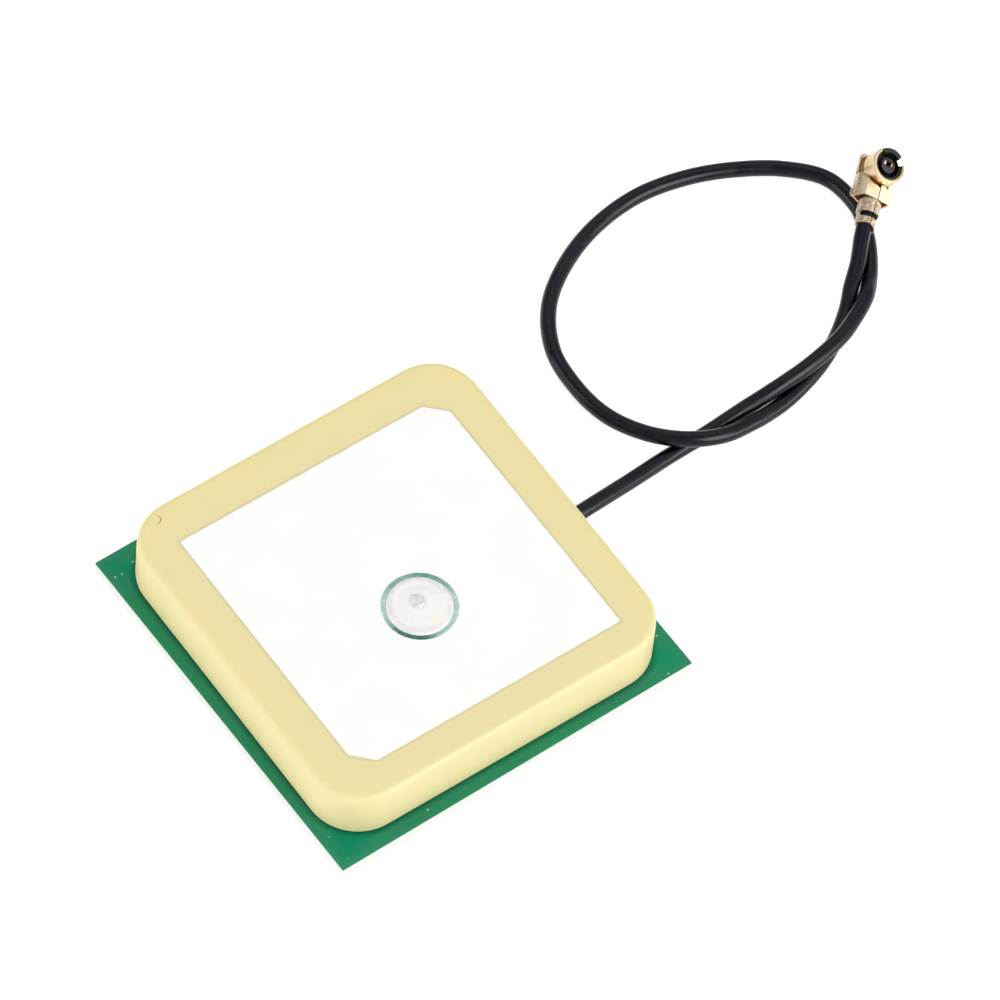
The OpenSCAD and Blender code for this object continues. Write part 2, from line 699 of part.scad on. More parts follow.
module plug_shell() {
    throat = dielectric_d / 2 + 0.06;
    jacket_r = cable_d / 2 + plug_clear;
    reach = 2;
    color([0.88, 0.78, 0.58])
    on_plug() {
        difference() {
            spring_ring();
            along_x(-lip_r - 1, 0) circle(throat);
            ring_recess(60, 118, -0.5, 0.12);
            ring_recess(152, 196, 0.1, 0.75);
        }
        back_plate();
        for (side = [-1, 1]) wing(side);
        crimp_band(braid_crimp_front, braid_crimp_rear, braid_crimp_r);
        difference() {
            crimp_band(jacket_crimp_front, jacket_crimp_rear + crimp_flap / 2, jacket_r + shell_t);
            translate([-jacket_crimp_rear, 0, 0]) rotate(jacket_crimp_slant)
                translate([-2 * reach, -reach, -reach]) cube(2 * reach);
        }
        // spine that joins the two crimps under the slot
        along_x(-jacket_crimp_front - eps, -braid_crimp_rear + eps) intersection() {
            difference() {
                circle(jacket_r + shell_t);
                circle(jacket_r);
            }
            polygon([[0, 0], [-reach * sin(slot_from), reach * cos(slot_from)],
                [reach, reach], [reach, -reach], [-reach * sin(slot_from), -reach * cos(slot_from)]]);
        }
        // pointed flap left by the cut on the right side of the jacket crimp
        intersection() {
            along_x(-jacket_crimp_rear - crimp_flap, -jacket_crimp_rear + eps) difference() {
                circle(jacket_r + shell_t);
                circle(jacket_r);
            }
            translate([-jacket_crimp_rear, 0, -1]) linear_extrude(3)
                polygon([[eps, -1.5], [eps, 0.05], [-crimp_flap, -0.65]]);
        }
    }
}

module plug_insulator() {
    r = ring_bore_r - plug_clear;
    bottom = -back_z + shell_t;
    face = mouth_h - insulator_recess;
    groove_z = 0.5;
    notch_z = -0.2;
    // the front wall reaches from the notch to the other end of the ring
    wall_from = -45;
    wall_to = ring_open_at + ring_open / 2 - 2;
    color([0.1, 0.1, 0.11])
    on_plug() difference() {
        union() {
            translate([0, 0, bottom]) cylinder(r = r, h = face - bottom);
            // front wall that fills the ring's opening
            rotate(wall_from) rotate_extrude(angle = wall_to - wall_from)
                translate([r - insulator_rim, bottom])
                    square([front_wall_r - r + insulator_rim, mouth_h + front_wall_h - bottom]);
        }
        // groove for the socket's ring, round the middle boss
        translate([0, 0, groove_z]) difference() {
            cylinder(r = r - insulator_rim, h = 2);
            translate([0, 0, -1]) cylinder(r = boss_r, h = face - groove_z - 0.04 + 1);
        }
        // notch through the front wall
        translate([0, 0, notch_z]) linear_extrude(2)
            polygon([[0.5, -0.52], [0.98, -0.8], [1.4, -1.0], [0.53, -1.4], [0.25, -0.71]]);
        // pocket for the contact and passage for the dielectric
        translate([contact_x - 0.17, -0.37, -0.3]) cube([0.34, 0.74, 3]);
        along_x(-2, -conductor_end + 0.02) circle(dielectric_d / 2 + 0.02);
    }
}

module plug_contact() {
    // two spring leaves on a base bar, with a tail under the conductor
    leaf = [0.26, 0.13];
    base_top = -conductor_d / 2;
    base_t = 0.12;
    leaf_y = 0.26;
    color([0.85, 0.7, 0.45])
    on_plug() {
        translate([contact_x - leaf[0] / 2, -leaf_y - leaf[1] / 2, base_top - base_t])
            cube([leaf[0], 2 * leaf_y + leaf[1], base_t]);
        for (side = [-1, 1])
            translate([contact_x - leaf[0] / 2, side * leaf_y - leaf[1] / 2, base_top - base_t])
                cube([leaf[0], leaf[1], mouth_h - insulator_recess - 0.04 - base_top + base_t]);
        translate([-dielectric_end + 0.05, -leaf[0] / 2, base_top - base_t])
            cube([dielectric_end - 0.05, leaf[0], base_t]);
    }
}

ceramic_block();
patch_electrode();
ground_electrode();
solder_stop_ring();
feed_pin();
feed_solder_top();
feed_solder_bottom();
adhesive_pad();
circuit_board();
copper_lands();
shield_can();
can_solder();
amplifier_first();
amplifier_second();
saw_filter();
capacitors();
resistors();
inductors();
braid_solder();
core_solder();
cable_jacket();
cable_braid();
cable_dielectric();
cable_conductor();
plug_shell();
plug_insulator();
plug_contact();
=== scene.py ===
"""Looks of a square ceramic patch antenna with a thin coaxial lead and a push-on plug.

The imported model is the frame: +Z up out of the patch, +X toward the side where the lead
leaves, origin on the surface that the antenna stands on. Blender works in metres. Lengths
in this script are in millimetres, apart from those of the studio.
"""

import json
import math

import bmesh
import bpy
from mathutils import Matrix, Vector, noise


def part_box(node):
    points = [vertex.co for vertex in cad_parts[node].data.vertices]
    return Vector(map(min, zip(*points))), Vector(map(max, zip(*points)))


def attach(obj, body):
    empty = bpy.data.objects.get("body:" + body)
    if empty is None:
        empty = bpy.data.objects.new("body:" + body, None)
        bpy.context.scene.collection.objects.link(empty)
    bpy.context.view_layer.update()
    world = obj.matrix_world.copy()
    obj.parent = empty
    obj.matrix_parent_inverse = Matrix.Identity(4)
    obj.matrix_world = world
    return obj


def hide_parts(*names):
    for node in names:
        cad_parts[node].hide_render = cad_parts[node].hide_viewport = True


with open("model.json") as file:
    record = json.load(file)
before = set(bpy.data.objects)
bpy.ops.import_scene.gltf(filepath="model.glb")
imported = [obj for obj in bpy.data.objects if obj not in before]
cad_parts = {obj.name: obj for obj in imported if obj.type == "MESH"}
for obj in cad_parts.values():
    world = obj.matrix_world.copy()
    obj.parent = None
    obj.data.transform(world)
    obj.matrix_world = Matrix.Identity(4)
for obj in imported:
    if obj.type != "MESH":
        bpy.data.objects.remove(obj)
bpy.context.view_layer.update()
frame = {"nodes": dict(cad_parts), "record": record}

MM = 0.001
NODES = frame["nodes"]
SLOTS = {part["node"]: part["material_slot"] for part in frame["record"]["subparts"]}
ORIGIN = Vector((0, 0, 0))
AXES = (Vector((1, 0, 0)), Vector((0, 1, 0)), Vector((0, 0, 1)))


def box_mm(node):
    """Lowest and highest corner of a CAD node."""
    return [Vector(corner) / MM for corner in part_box(node)]


def middle_of(node):
    """Middle of a CAD node as seen from above."""
    low, high = box_mm(node)
    return ((low.x + high.x) / 2, (low.y + high.y) / 2)


# the camera

# where the photograph was taken from, fitted to the board's corners
CAMERA_AT = Vector((-203.13, -240.55, 513.01))
CAMERA_HEADING, CAMERA_TILT, CAMERA_ROLL = (math.radians(a) for a in (-41.2529, 32.4536, 6.289))
LENS = 342.5
SENSOR = 36.0
# the nearest and farthest things that it sees, in metres
NEAREST = 0.02
FARTHEST = 50


def make_camera():
    """The photograph's camera."""
    data = bpy.data.cameras.new("camera")
    data.lens = LENS
    data.sensor_width = SENSOR
    data.sensor_fit = "HORIZONTAL"
    data.clip_start = NEAREST
    data.clip_end = FARTHEST
    camera = bpy.data.objects.new("camera", data)
    bpy.context.collection.objects.link(camera)
    turn = (Matrix.Rotation(CAMERA_HEADING, 4, "Z") @ Matrix.Rotation(CAMERA_TILT, 4, "X")
            @ Matrix.Rotation(CAMERA_ROLL, 4, "Z"))
    camera.matrix_world = Matrix.Translation(CAMERA_AT * MM) @ turn
    bpy.context.scene.camera = camera


make_camera()


# places on the object

# the board, the ceramic block, which is turned a little on it, and the silver patch on the block
BOARD_BOTTOM, BOARD_TOP = (round(corner.z, 3) for corner in box_mm("circuit_board"))
BOARD_HALF = round(box_mm("circuit_board")[1].x, 3)
BLOCK_AT = (0.13, 0.15)
BLOCK_TURN = math.radians(-0.8)
BLOCK_SIDE = 25.33
BLOCK_CORNER_R = 3.4
BLOCK_TOP = round(box_mm("ceramic_block")[1].z, 3)
PATCH_SIDE = 19.83
PATCH_CUT = 1.3
PATCH_Y = -0.35
PATCH_TOP = round(box_mm("patch_electrode")[1].z, 3)

# the plug: where the lead's line meets its mating axis, and how it is turned
PLUG_AT = Vector((46.29, 10.3, 2.72))
PLUG_HEADING, PLUG_PITCH, PLUG_ROLL = (math.radians(a) for a in (41.5, 11, 31.5))
PLUG_TURN = (Matrix.Rotation(PLUG_HEADING, 3, "Z") @ Matrix.Rotation(-PLUG_PITCH, 3, "Y")
             @ Matrix.Rotation(PLUG_ROLL, 3, "X"))


def on_block(x, y, z):
    """A point of the ceramic block's own axes."""
    return Vector((BLOCK_AT[0] + math.cos(BLOCK_TURN) * x - math.sin(BLOCK_TURN) * y,
                   BLOCK_AT[1] + math.sin(BLOCK_TURN) * x + math.cos(BLOCK_TURN) * y, z))


def on_plug(x, y, z):
    """A point of the plug's own axes: x away from the lead, y across, z up out of the mouth."""
    return PLUG_AT + PLUG_TURN @ Vector((x, y, z))


def srgb(red, green, blue):
    """Colour as the eye reads it, 0 to 255, to the linear values that Blender uses."""
    def linear(value):
        value /= 255
        return value / 12.92 if value <= 0.04045 else ((value + 0.055) / 1.055) ** 2.4
    return (linear(red), linear(green), linear(blue), 1)


class Paint:
    """A procedural material in the frame's own coordinates, in millimetres."""

    def __init__(self, name, rough=0.5, metal=0.0, ior=1.5):
        self.material = bpy.data.materials.new(name)
        self.material.use_nodes = True
        self.nodes = self.material.node_tree.nodes
        self.links = self.material.node_tree.links
        self.shader = self.nodes["Principled BSDF"]
        self.shader.inputs["Roughness"].default_value = rough
        self.shader.inputs["Metallic"].default_value = metal
        self.shader.inputs["IOR"].default_value = ior
        scaled = self.node("ShaderNodeVectorMath", operation="SCALE")
        scaled.inputs["Scale"].default_value = 1 / MM
        self.link(self.node("ShaderNodeTexCoord").outputs["Object"], scaled.inputs[0])
        self.place = scaled.outputs[0]

    def node(self, kind, **settings):
        """A new node with its settings."""
        made = self.nodes.new(kind)
        for key, value in settings.items():
            setattr(made, key, value)
        return made

    def link(self, output, socket):
        """Joins an output to a socket."""
        self.links.new(output, socket)

    def noise(self, size, detail=3, rough=0.55):
        """Smooth noise from 0 to 1 whose features are about size millimetres."""
        made = self.node("ShaderNodeTexNoise")
        made.inputs["Scale"].default_value = 1 / size
        made.inputs["Detail"].default_value = detail
        made.inputs["Roughness"].default_value = rough
        self.link(self.place, made.inputs["Vector"])
        return made.outputs["Fac"]

    def ramp(self, value, stops):
        """Colours by value; stops are (value, colour)."""
        made = self.node("ShaderNodeValToRGB")
        while len(made.color_ramp.elements) < len(stops):
            made.color_ramp.elements.new(0.5)
        for element, (at, colour) in zip(made.color_ramp.elements, stops):
            element.position = at
            element.color = colour
        self.link(value, made.inputs["Fac"])
        return made.outputs["Color"]

    def between(self, value, low, high, to=(0.0, 1.0)):
        """A value mapped from low..high to the two values of to, and held there outside them."""
        made = self.node("ShaderNodeMapRange")
        made.inputs["From Min"].default_value = low
        made.inputs["From Max"].default_value = high
        made.inputs["To Min"].default_value = to[0]
        made.inputs["To Max"].default_value = to[1]
        self.link(value, made.inputs["Value"])
        return made.outputs["Result"]

    def falling(self, value, low, high, most=1.0):
        """The number most where a value is under low, falling to 0 at high."""
        return self.between(value, low, high, to=(most, 0.0))

    def within(self, value, low, high, soft):
        """1 where a value lies between low and high, falling to 0 over soft on both sides."""
        return self.product(self.between(value, low - soft, low), self.falling(value, high, high + soft))

    def math(self, how, *values):
        """One step of arithmetic on sockets and numbers."""
        made = self.node("ShaderNodeMath", operation=how)
        for socket, value in zip(made.inputs, values):
            if isinstance(value, (int, float)):
                socket.default_value = value
            else:
                self.link(value, socket)
        return made.outputs[0]

    def product(self, *values):
        """All the values multiplied."""
        total = values[0]
        for value in values[1:]:
            total = self.math("MULTIPLY", total, value)
        return total

    def farther(self, one, other):
        """The greater size of two values, whatever their signs."""
        return self.math("MAXIMUM", self.math("ABSOLUTE", one), self.math("ABSOLUTE", other))

    def length(self, one, other):
        """Length of the line that goes one value along and the other across."""
        return self.math("SQRT", self.math("ADD", self.product(one, one), self.product(other, other)))

    def mix(self, share, first, second):
        """The first colour where share is 0 and the second where it is 1; sockets or values."""
        made = self.node("ShaderNodeMix", data_type="RGBA")
        for socket, value in ((made.inputs["Factor"], share), (made.inputs[6], first),
                              (made.inputs[7], second)):
            if isinstance(value, bpy.types.NodeSocket):
                self.link(value, socket)
            else:
                socket.default_value = value
        return made.outputs[2]

    def near(self, point, radius, soft):
        """1 within radius of a point, falling to 0 over soft."""
        away = self.node("ShaderNodeVectorMath", operation="DISTANCE")
        away.inputs[1].default_value = point
        self.link(self.place, away.inputs[0])
        return self.falling(away.outputs["Value"], radius, radius + soft)

    def along(self, origin, axis):
        """How far a place lies from origin along an axis."""
        away = self.node("ShaderNodeVectorMath", operation="SUBTRACT")
        away.inputs[1].default_value = origin
        self.link(self.place, away.inputs[0])
        reach = self.node("ShaderNodeVectorMath", operation="DOT_PRODUCT")
        reach.inputs[1].default_value = axis
        self.link(away.outputs[0], reach.inputs[0])
        return reach.outputs["Value"]

    def colour(self, socket):
        """The shader's colour."""
        self.link(socket, self.shader.inputs["Base Color"])

    def roughness(self, value, low, high, to):
        """The shader's roughness, mapped from low..high to the two values of to."""
        self.link(self.between(value, low, high, to), self.shader.inputs["Roughness"])

    def bump(self, height, depth):
        """Relief of depth millimetres from a height of 0 to 1."""
        made = self.node("ShaderNodeBump")
        made.inputs["Strength"].default_value = 1
        made.inputs["Distance"].default_value = depth * MM
        self.link(height, made.inputs["Height"])
        self.link(made.outputs["Normal"], self.shader.inputs["Normal"])


def beyond_patch(paint):
    """How far a place on the block's top lies outside the patch's outline."""
    middle = on_block(0, PATCH_Y, 0)
    across = on_block(1, PATCH_Y, 0) - middle
    along = on_block(0, PATCH_Y + 1, 0) - middle
    square = paint.farther(paint.along(middle, across), paint.along(middle, along))
    corner = paint.math("ABSOLUTE", paint.along(middle, (across + along) / math.sqrt(2)))
    return paint.math("MAXIMUM", paint.math("SUBTRACT", square, PATCH_SIDE / 2),
                      paint.math("SUBTRACT", corner, (PATCH_SIDE - PATCH_CUT) * math.sqrt(0.5)))


def beyond_block(paint):
    """How far a place on the board lies outside the ceramic block's foot."""
    middle = on_block(0, 0, 0)
    straight = BLOCK_SIDE / 2 - BLOCK_CORNER_R
    past = []
    for axis in (on_block(1, 0, 0) - middle, on_block(0, 1, 0) - middle):
        reach = paint.math("SUBTRACT", paint.math("ABSOLUTE", paint.along(middle, axis)), straight)
        past.append(paint.math("MAXIMUM", reach, 0.0))
    return paint.math("SUBTRACT", paint.length(*past), BLOCK_CORNER_R)


def plug_places(paint):
    """A place in the plug's own axes: forward, across, up, and its distance from the mating axis."""
    x, y, z = (paint.along(PLUG_AT, PLUG_TURN @ axis) for axis in AXES)
    return x, y, z, paint.length(x, y)


# materials of the ceramic and the board

# a fine brown crescent by the top's left corner: the disc it is part of, and the disc that cuts it
CRESCENT = ((-9.949, 12.043, BLOCK_TOP), (-10.006, 12.084, BLOCK_TOP))
CRESCENT_R = 0.32
CRESCENT_SOFT = 0.03
# depths under the block's top over which the painted tone of its sides, a bluer one standing in for the
# light that falls on them, turns into that of its top
TOP_TURNS = (0.1, 0.02)
# distances from the patch over which the greyer band and the fine grey line of painted shade along its
# edge fade
BAND_FADES = (0.2, 2.2)
PATCH_EDGE_SHADE_FADES = (0.02, 0.24)
# specks of bare laminate on the board's top close to its edges, and how plain each one is
FLECKS = ((-11.48, 12.24, 1), (-12.54, 11.84, 1), (-13.03, 11.9, 1), (12.79, -10.64, 0.8),
          (11.76, -13.3, 0.7), (-6.58, -12.89, 1), (-12.83, -11.03, 0.35), (-12.77, -12.99, 0.2))
FLECK_R = 0.035
FLECK_SOFT = 0.03
# the warmer tone: how far from the block's foot the strip fades, and how far from the board's edge
# the strip and the rim begin and are full; then how far the painted shadow along the foot fades from it
STRIP_FADES = (0.4, 1.4)
STRIP_BEGINS = (1.2, 0.75)
RIM_BEGINS = (0.7, 0.2)
FOOT_SHADOW_FADES = (0.0, 0.45)
# over what depth the sawn edge turns green under the mask, and over what height the painted shade at its
# foot fades
MASK_BEGINS = (0.16, 0.02)
LOWER_EDGE_SHADE_FADES = (0.02, 0.16)


def ceramic_paint():
    """Pressed and fired ceramic: matt, even, with faint clouds, a greyer band where the silver was
    printed beside it, a fine line of painted shade along the patch's edge, and one fine crescent mark."""
    paint = Paint("ceramic", rough=0.45, ior=1.45)
    clouds = paint.noise(3.2, detail=2)
    grain = paint.noise(0.09, detail=4, rough=0.7)
    outside = beyond_patch(paint)
    on_top = paint.between(paint.along(ORIGIN, AXES[2]), *(BLOCK_TOP - depth for depth in TOP_TURNS))
    cloudy = paint.ramp(clouds, [(0.35, srgb(235, 224, 165)), (0.65, srgb(247, 230, 163))])
    tone = paint.mix(paint.between(grain, 0.3, 0.72, to=(0.0, 0.5)), srgb(230, 216, 156), cloudy)
    # painted light: the sides get a bluer tone for the light that falls on them
    tone = paint.mix(paint.falling(on_top, 0, 1, most=0.35), tone, srgb(234, 226, 172))
    band = paint.product(on_top, paint.falling(outside, *BAND_FADES, most=0.5))
    tone = paint.mix(band, tone, srgb(228, 216, 166))
    # a fine line of painted shade along the patch's edge
    patch_edge_shade = paint.product(on_top, paint.falling(outside, *PATCH_EDGE_SHADE_FADES, most=0.75))
    tone = paint.mix(patch_edge_shade, tone, srgb(206, 194, 160))
    disc, bite = (paint.near(point, CRESCENT_R, CRESCENT_SOFT) for point in CRESCENT)
    mark = paint.product(disc, paint.math("SUBTRACT", 1.0, bite))
    paint.colour(paint.mix(mark, tone, srgb(160, 122, 66)))
    paint.roughness(grain, 0.3, 0.7, to=(0.4, 0.54))
    paint.bump(grain, 0.003)
    return paint.material


def mask_paint():
    """Green solder mask over copper and glass cloth, with a few bare specks, a darker line of painted
    shadow along the block's foot, and a warmer tone along the board's edges."""
    paint = Paint("green_board", rough=0.4, ior=1.22)
    cloth = paint.noise(0.5, detail=2)
    broad = paint.noise(5, detail=2)
    outside = beyond_block(paint)
    out = paint.farther(paint.along(ORIGIN, AXES[0]), paint.along(ORIGIN, AXES[1]))
    tone = paint.mix(paint.between(broad, 0.35, 0.65), srgb(0, 130, 97), srgb(6, 142, 104))
    tone = paint.mix(paint.between(cloth, 0.3, 0.7, to=(0.0, 0.25)), tone, srgb(2, 118, 84))
    strip = paint.product(paint.falling(outside, *STRIP_FADES, most=0.6),
                          paint.between(out, *(BOARD_HALF - inward for inward in STRIP_BEGINS)))
    rim = paint.between(out, *(BOARD_HALF - inward for inward in RIM_BEGINS), to=(0.0, 0.6))
    tone = paint.mix(paint.math("MAXIMUM", strip, rim), tone, srgb(58, 135, 98))
    # painted shadow along the block's foot
    tone = paint.mix(paint.falling(outside, *FOOT_SHADOW_FADES, most=0.5), tone, srgb(14, 84, 56))
    for x, y, plain in FLECKS:
        fleck = paint.product(paint.near((x, y, BOARD_TOP), FLECK_R, FLECK_SOFT), plain)
        tone = paint.mix(fleck, tone, srgb(200, 236, 220))
    paint.colour(tone)
    paint.bump(cloth, 0.002)
    return paint.material


def edge_paint():
    """Sawn glass laminate: pale, a little green under the mask, with painted shade at its lower edge."""
    paint = Paint("board_edge", rough=0.6)
    cloth = paint.noise(0.15, detail=4, rough=0.65)
    height = paint.along(ORIGIN, AXES[2])
    tone = paint.mix(paint.between(cloth, 0.3, 0.7), srgb(226, 228, 220), srgb(240, 240, 234))
    under_mask = paint.between(height, *(BOARD_TOP - depth for depth in MASK_BEGINS))
    tone = paint.mix(under_mask, tone, srgb(170, 208, 188))
    # painted shade along the lower edge
    lower_edge_shade = paint.falling(height, *(BOARD_BOTTOM + rise for rise in LOWER_EDGE_SHADE_FADES), most=0.8)
    paint.colour(paint.mix(lower_edge_shade, tone, srgb(196, 188, 180)))
    paint.bump(cloth, 0.006)
    return paint.material


# materials of the patch, its ring and its solder joint

# where the ring's print is thick and where it is thin: place, reach and colour
THICK = srgb(40, 96, 76)
THIN = srgb(192, 218, 208)
INK_MARKS = ((-1.9, -3.5, 1.1, THICK), (-1.1, -4.4, 0.9, THICK), (1.9, -0.9, 0.9, srgb(86, 150, 130)),
             (-1.9, -1.2, 1.3, THIN), (1.3, -4.3, 1.5, THIN), (2.3, -3.2, 0.9, THIN))
INK_Z = PATCH_TOP + 0.01
# over the solder: the pin under it, the middle of its ring, and a cream-coloured glint
PIN_MARK = (*middle_of("feed_pin"), 7.66)
RING_MARK = (*middle_of("solder_stop_ring"), 7.52)
GLINT = (0.38, -3.93, 7.52)
# how far each mark reaches in full, and over what distance it then fades
PIN_REACH = (0.4, 0.35)
RIM_OUTER_REACH = (1.9, 0.1)
RIM_INNER_REACH = (1.55, 0.2)
GLINT_REACH = (0.12, 0.4)


def silver_paint():
    """Fired silver: bright, matt, with the faint mesh of the printing screen."""
    paint = Paint("fired_silver", rough=0.45, metal=0.25)
    grain = paint.noise(0.07, detail=3, rough=0.7)
    broad = paint.noise(4, detail=3)
    bright = srgb(250, 250, 248)
    duller = (*(0.97 * value for value in bright[:3]), 1)
    paint.colour(paint.mix(paint.between(broad, 0.3, 0.7), bright, duller))
    paint.roughness(grain, 0.3, 0.7, to=(0.37, 0.55))
    paint.bump(grain, 0.003)
    return paint.material


def ink_paint():
    """Thin green print through which the silver shows: thick in places, thin in others."""
    paint = Paint("green_ink", rough=0.32, ior=1.4)
    speckle = paint.noise(0.13, detail=3, rough=0.7)
    broad = paint.noise(0.9, detail=2)
    tone = srgb(124, 170, 155)
    for x, y, reach, colour in INK_MARKS:
        tone = paint.mix(paint.near((x, y, INK_Z), reach * 0.3, reach), tone, colour)
    tone = paint.mix(paint.between(broad, 0.4, 0.7, to=(0.0, 0.35)), tone, srgb(168, 200, 188))
    paint.colour(paint.mix(paint.between(speckle, 0.42, 0.7, to=(0.0, 0.5)), tone, srgb(52, 112, 92)))
    paint.bump(paint.noise(0.1, detail=3), 0.004)
    return paint.material


def solder_paint():
    """Bright tin solder: smooth, faintly clouded, duller over the pin, flux-stained near its rim."""
    paint = Paint("solder", rough=0.32, metal=0.25)
    clouds = paint.noise(0.8, detail=3)
    tone = paint.mix(paint.between(clouds, 0.3, 0.7), srgb(234, 234, 233), srgb(240, 239, 238))
    tone = paint.mix(paint.near(PIN_MARK, *PIN_REACH), tone, srgb(216, 215, 214))
    rim = paint.math("SUBTRACT", paint.near(RING_MARK, *RIM_OUTER_REACH),
                     paint.near(RING_MARK, *RIM_INNER_REACH))
    patchy = paint.product(rim, paint.between(paint.noise(0.9), 0.42, 0.62))
    tone = paint.mix(patchy, tone, srgb(230, 226, 223))
    glint = paint.product(paint.near(GLINT, *GLINT_REACH), 0.6)
    paint.colour(paint.mix(glint, tone, srgb(240, 232, 206)))
    paint.roughness(clouds, 0.3, 0.7, to=(0.26, 0.42))
    paint.bump(paint.noise(0.5, detail=1), 0.014)
    return paint.material


def pin_paint():
    """The pin's tinned head, dull and scratched, nearly as bright as the solder round it."""
    paint = Paint("tinned_pin", rough=0.42, metal=0.3)
    dents = paint.noise(0.28, detail=3, rough=0.6)
    paint.colour(paint.ramp(dents, [(0.36, srgb(200, 199, 197)), (0.5, srgb(218, 217, 215)),
                                    (0.62, srgb(232, 231, 229))]))
    paint.bump(dents, 0.006)
    return paint.material


# materials of the lead and the plug

SHELL_METAL = 0.9
# in the plug's own axes, the stretches over which a tone of the shell changes or in which it lies: on
# its folded top, with painted light and shade on its halves and far strip, on its right side and under
# the fold, both painted shade, and at its crimps
SEAM_Y = (-0.25, -0.05)
FAR_SHADE_Y = (-1.2, -1.05)
SIDE_Y = (0.86, 1.0)
SIDE_Z = (0.2, 0.45)
CRIMPS_X = (-2.42, -2.36)
FOLD_X = (-2.5, -1.9)
FOLD_Y = (0.9, 1.0)
FOLD_Z = (0.1, 0.3)
FOLD_R = (2.6, 2.7)
# the same on the spring ring's wall, with a painted highlight towards its top, on its lip, with painted
# shade over its lit rim, and at the brown painted shade on the wall beside the wing
WALL_R = (1.26, 1.3)
WALL_Z = (-0.6, -0.5)
WALL_HIGHLIGHT_Z = (0.5, 1.2)
LIP_Y = (0.1, 0.7)
LIP_Z = (1.3, 1.36)
GAP_SHADE_X = (-0.98, -0.86)
GAP_SHADE_Y = (-0.2, 0.0)
GAP_SHADE_Z = (0.15, 0.98)
# the slot between the crimps, widened with dark painted shade, and the recess pressed into the ring,
# painted brown as painted shade
SLOT_SHADE_X = (-3.6, -3.31)
SLOT_SHADE_Y = (0.62, 0.68)
RECESS_R = (0.98, 1.09)
RECESS_Z = (-0.52, 0.8)
# the two leaves of the contact meet here
LEAVES_Y = (-0.05, 0.05)
# the moulding's boss and the top of its front wall, made greyer by painted highlights, and the brown
# pocket in the boss
BOSS_R = (0.5, 0.54)
BOSS_X = (-0.3, 0.4)
BOSS_Z = (1.1, 1.2)
FRONT_X = (0.4, 0.7)
FRONT_Z = (1.4, 1.44)
POCKET = (0.1, 0, 1.1)
POCKET_REACH = (0.16, 0.06)
# how far from the plug's middle the dielectric is painted browner, as painted shade and reflection of
# the gold round it
GOLD_SHADE_REACH = (3, 1)


def jacket_paint():
    """Thin black fluoropolymer: glossy, blue-black, with scuffed and greyer stretches."""
    paint = Paint("jacket_black", rough=0.24, ior=1.3)
    scuffs = paint.noise(1.6, detail=4, rough=0.6)
    fine = paint.noise(0.25, detail=3, rough=0.65)
    tone = paint.mix(paint.between(scuffs, 0.42, 0.68), srgb(3, 6, 19), srgb(16, 18, 26))
    paint.colour(paint.mix(paint.between(fine, 0.55, 0.75, to=(0.0, 0.3)), tone, srgb(30, 31, 40)))
    paint.roughness(scuffs, 0.4, 0.65, to=(0.18, 0.36))
    paint.bump(fine, 0.002)
    return paint.material


def shell_top(paint, y, clouds):
    """Tones of the shell's folded top: its two halves, painted as one lit and one shaded, and a
    strip of painted shade on the far side.
    """
    top = paint.mix(paint.between(y, *SEAM_Y), srgb(246, 234, 200), srgb(222, 206, 181))
    top = paint.mix(paint.falling(y, *FAR_SHADE_Y, most=0.8), top, srgb(212, 196, 172))
    return paint.mix(paint.between(clouds, 0.35, 0.7, to=(0.0, 0.3)), top, srgb(226, 204, 170))


def shell_wall(paint, z, clouds):
    """Tones of the spring ring's wall: browner below, and paler and warmer above, where a highlight
    near the lip is painted.
    """
    wall = paint.mix(paint.between(z, *WALL_HIGHLIGHT_Z), srgb(192, 170, 132), srgb(226, 202, 168))
    return paint.mix(paint.between(clouds, 0.35, 0.65, to=(0.0, 0.5)), wall, srgb(186, 164, 126))


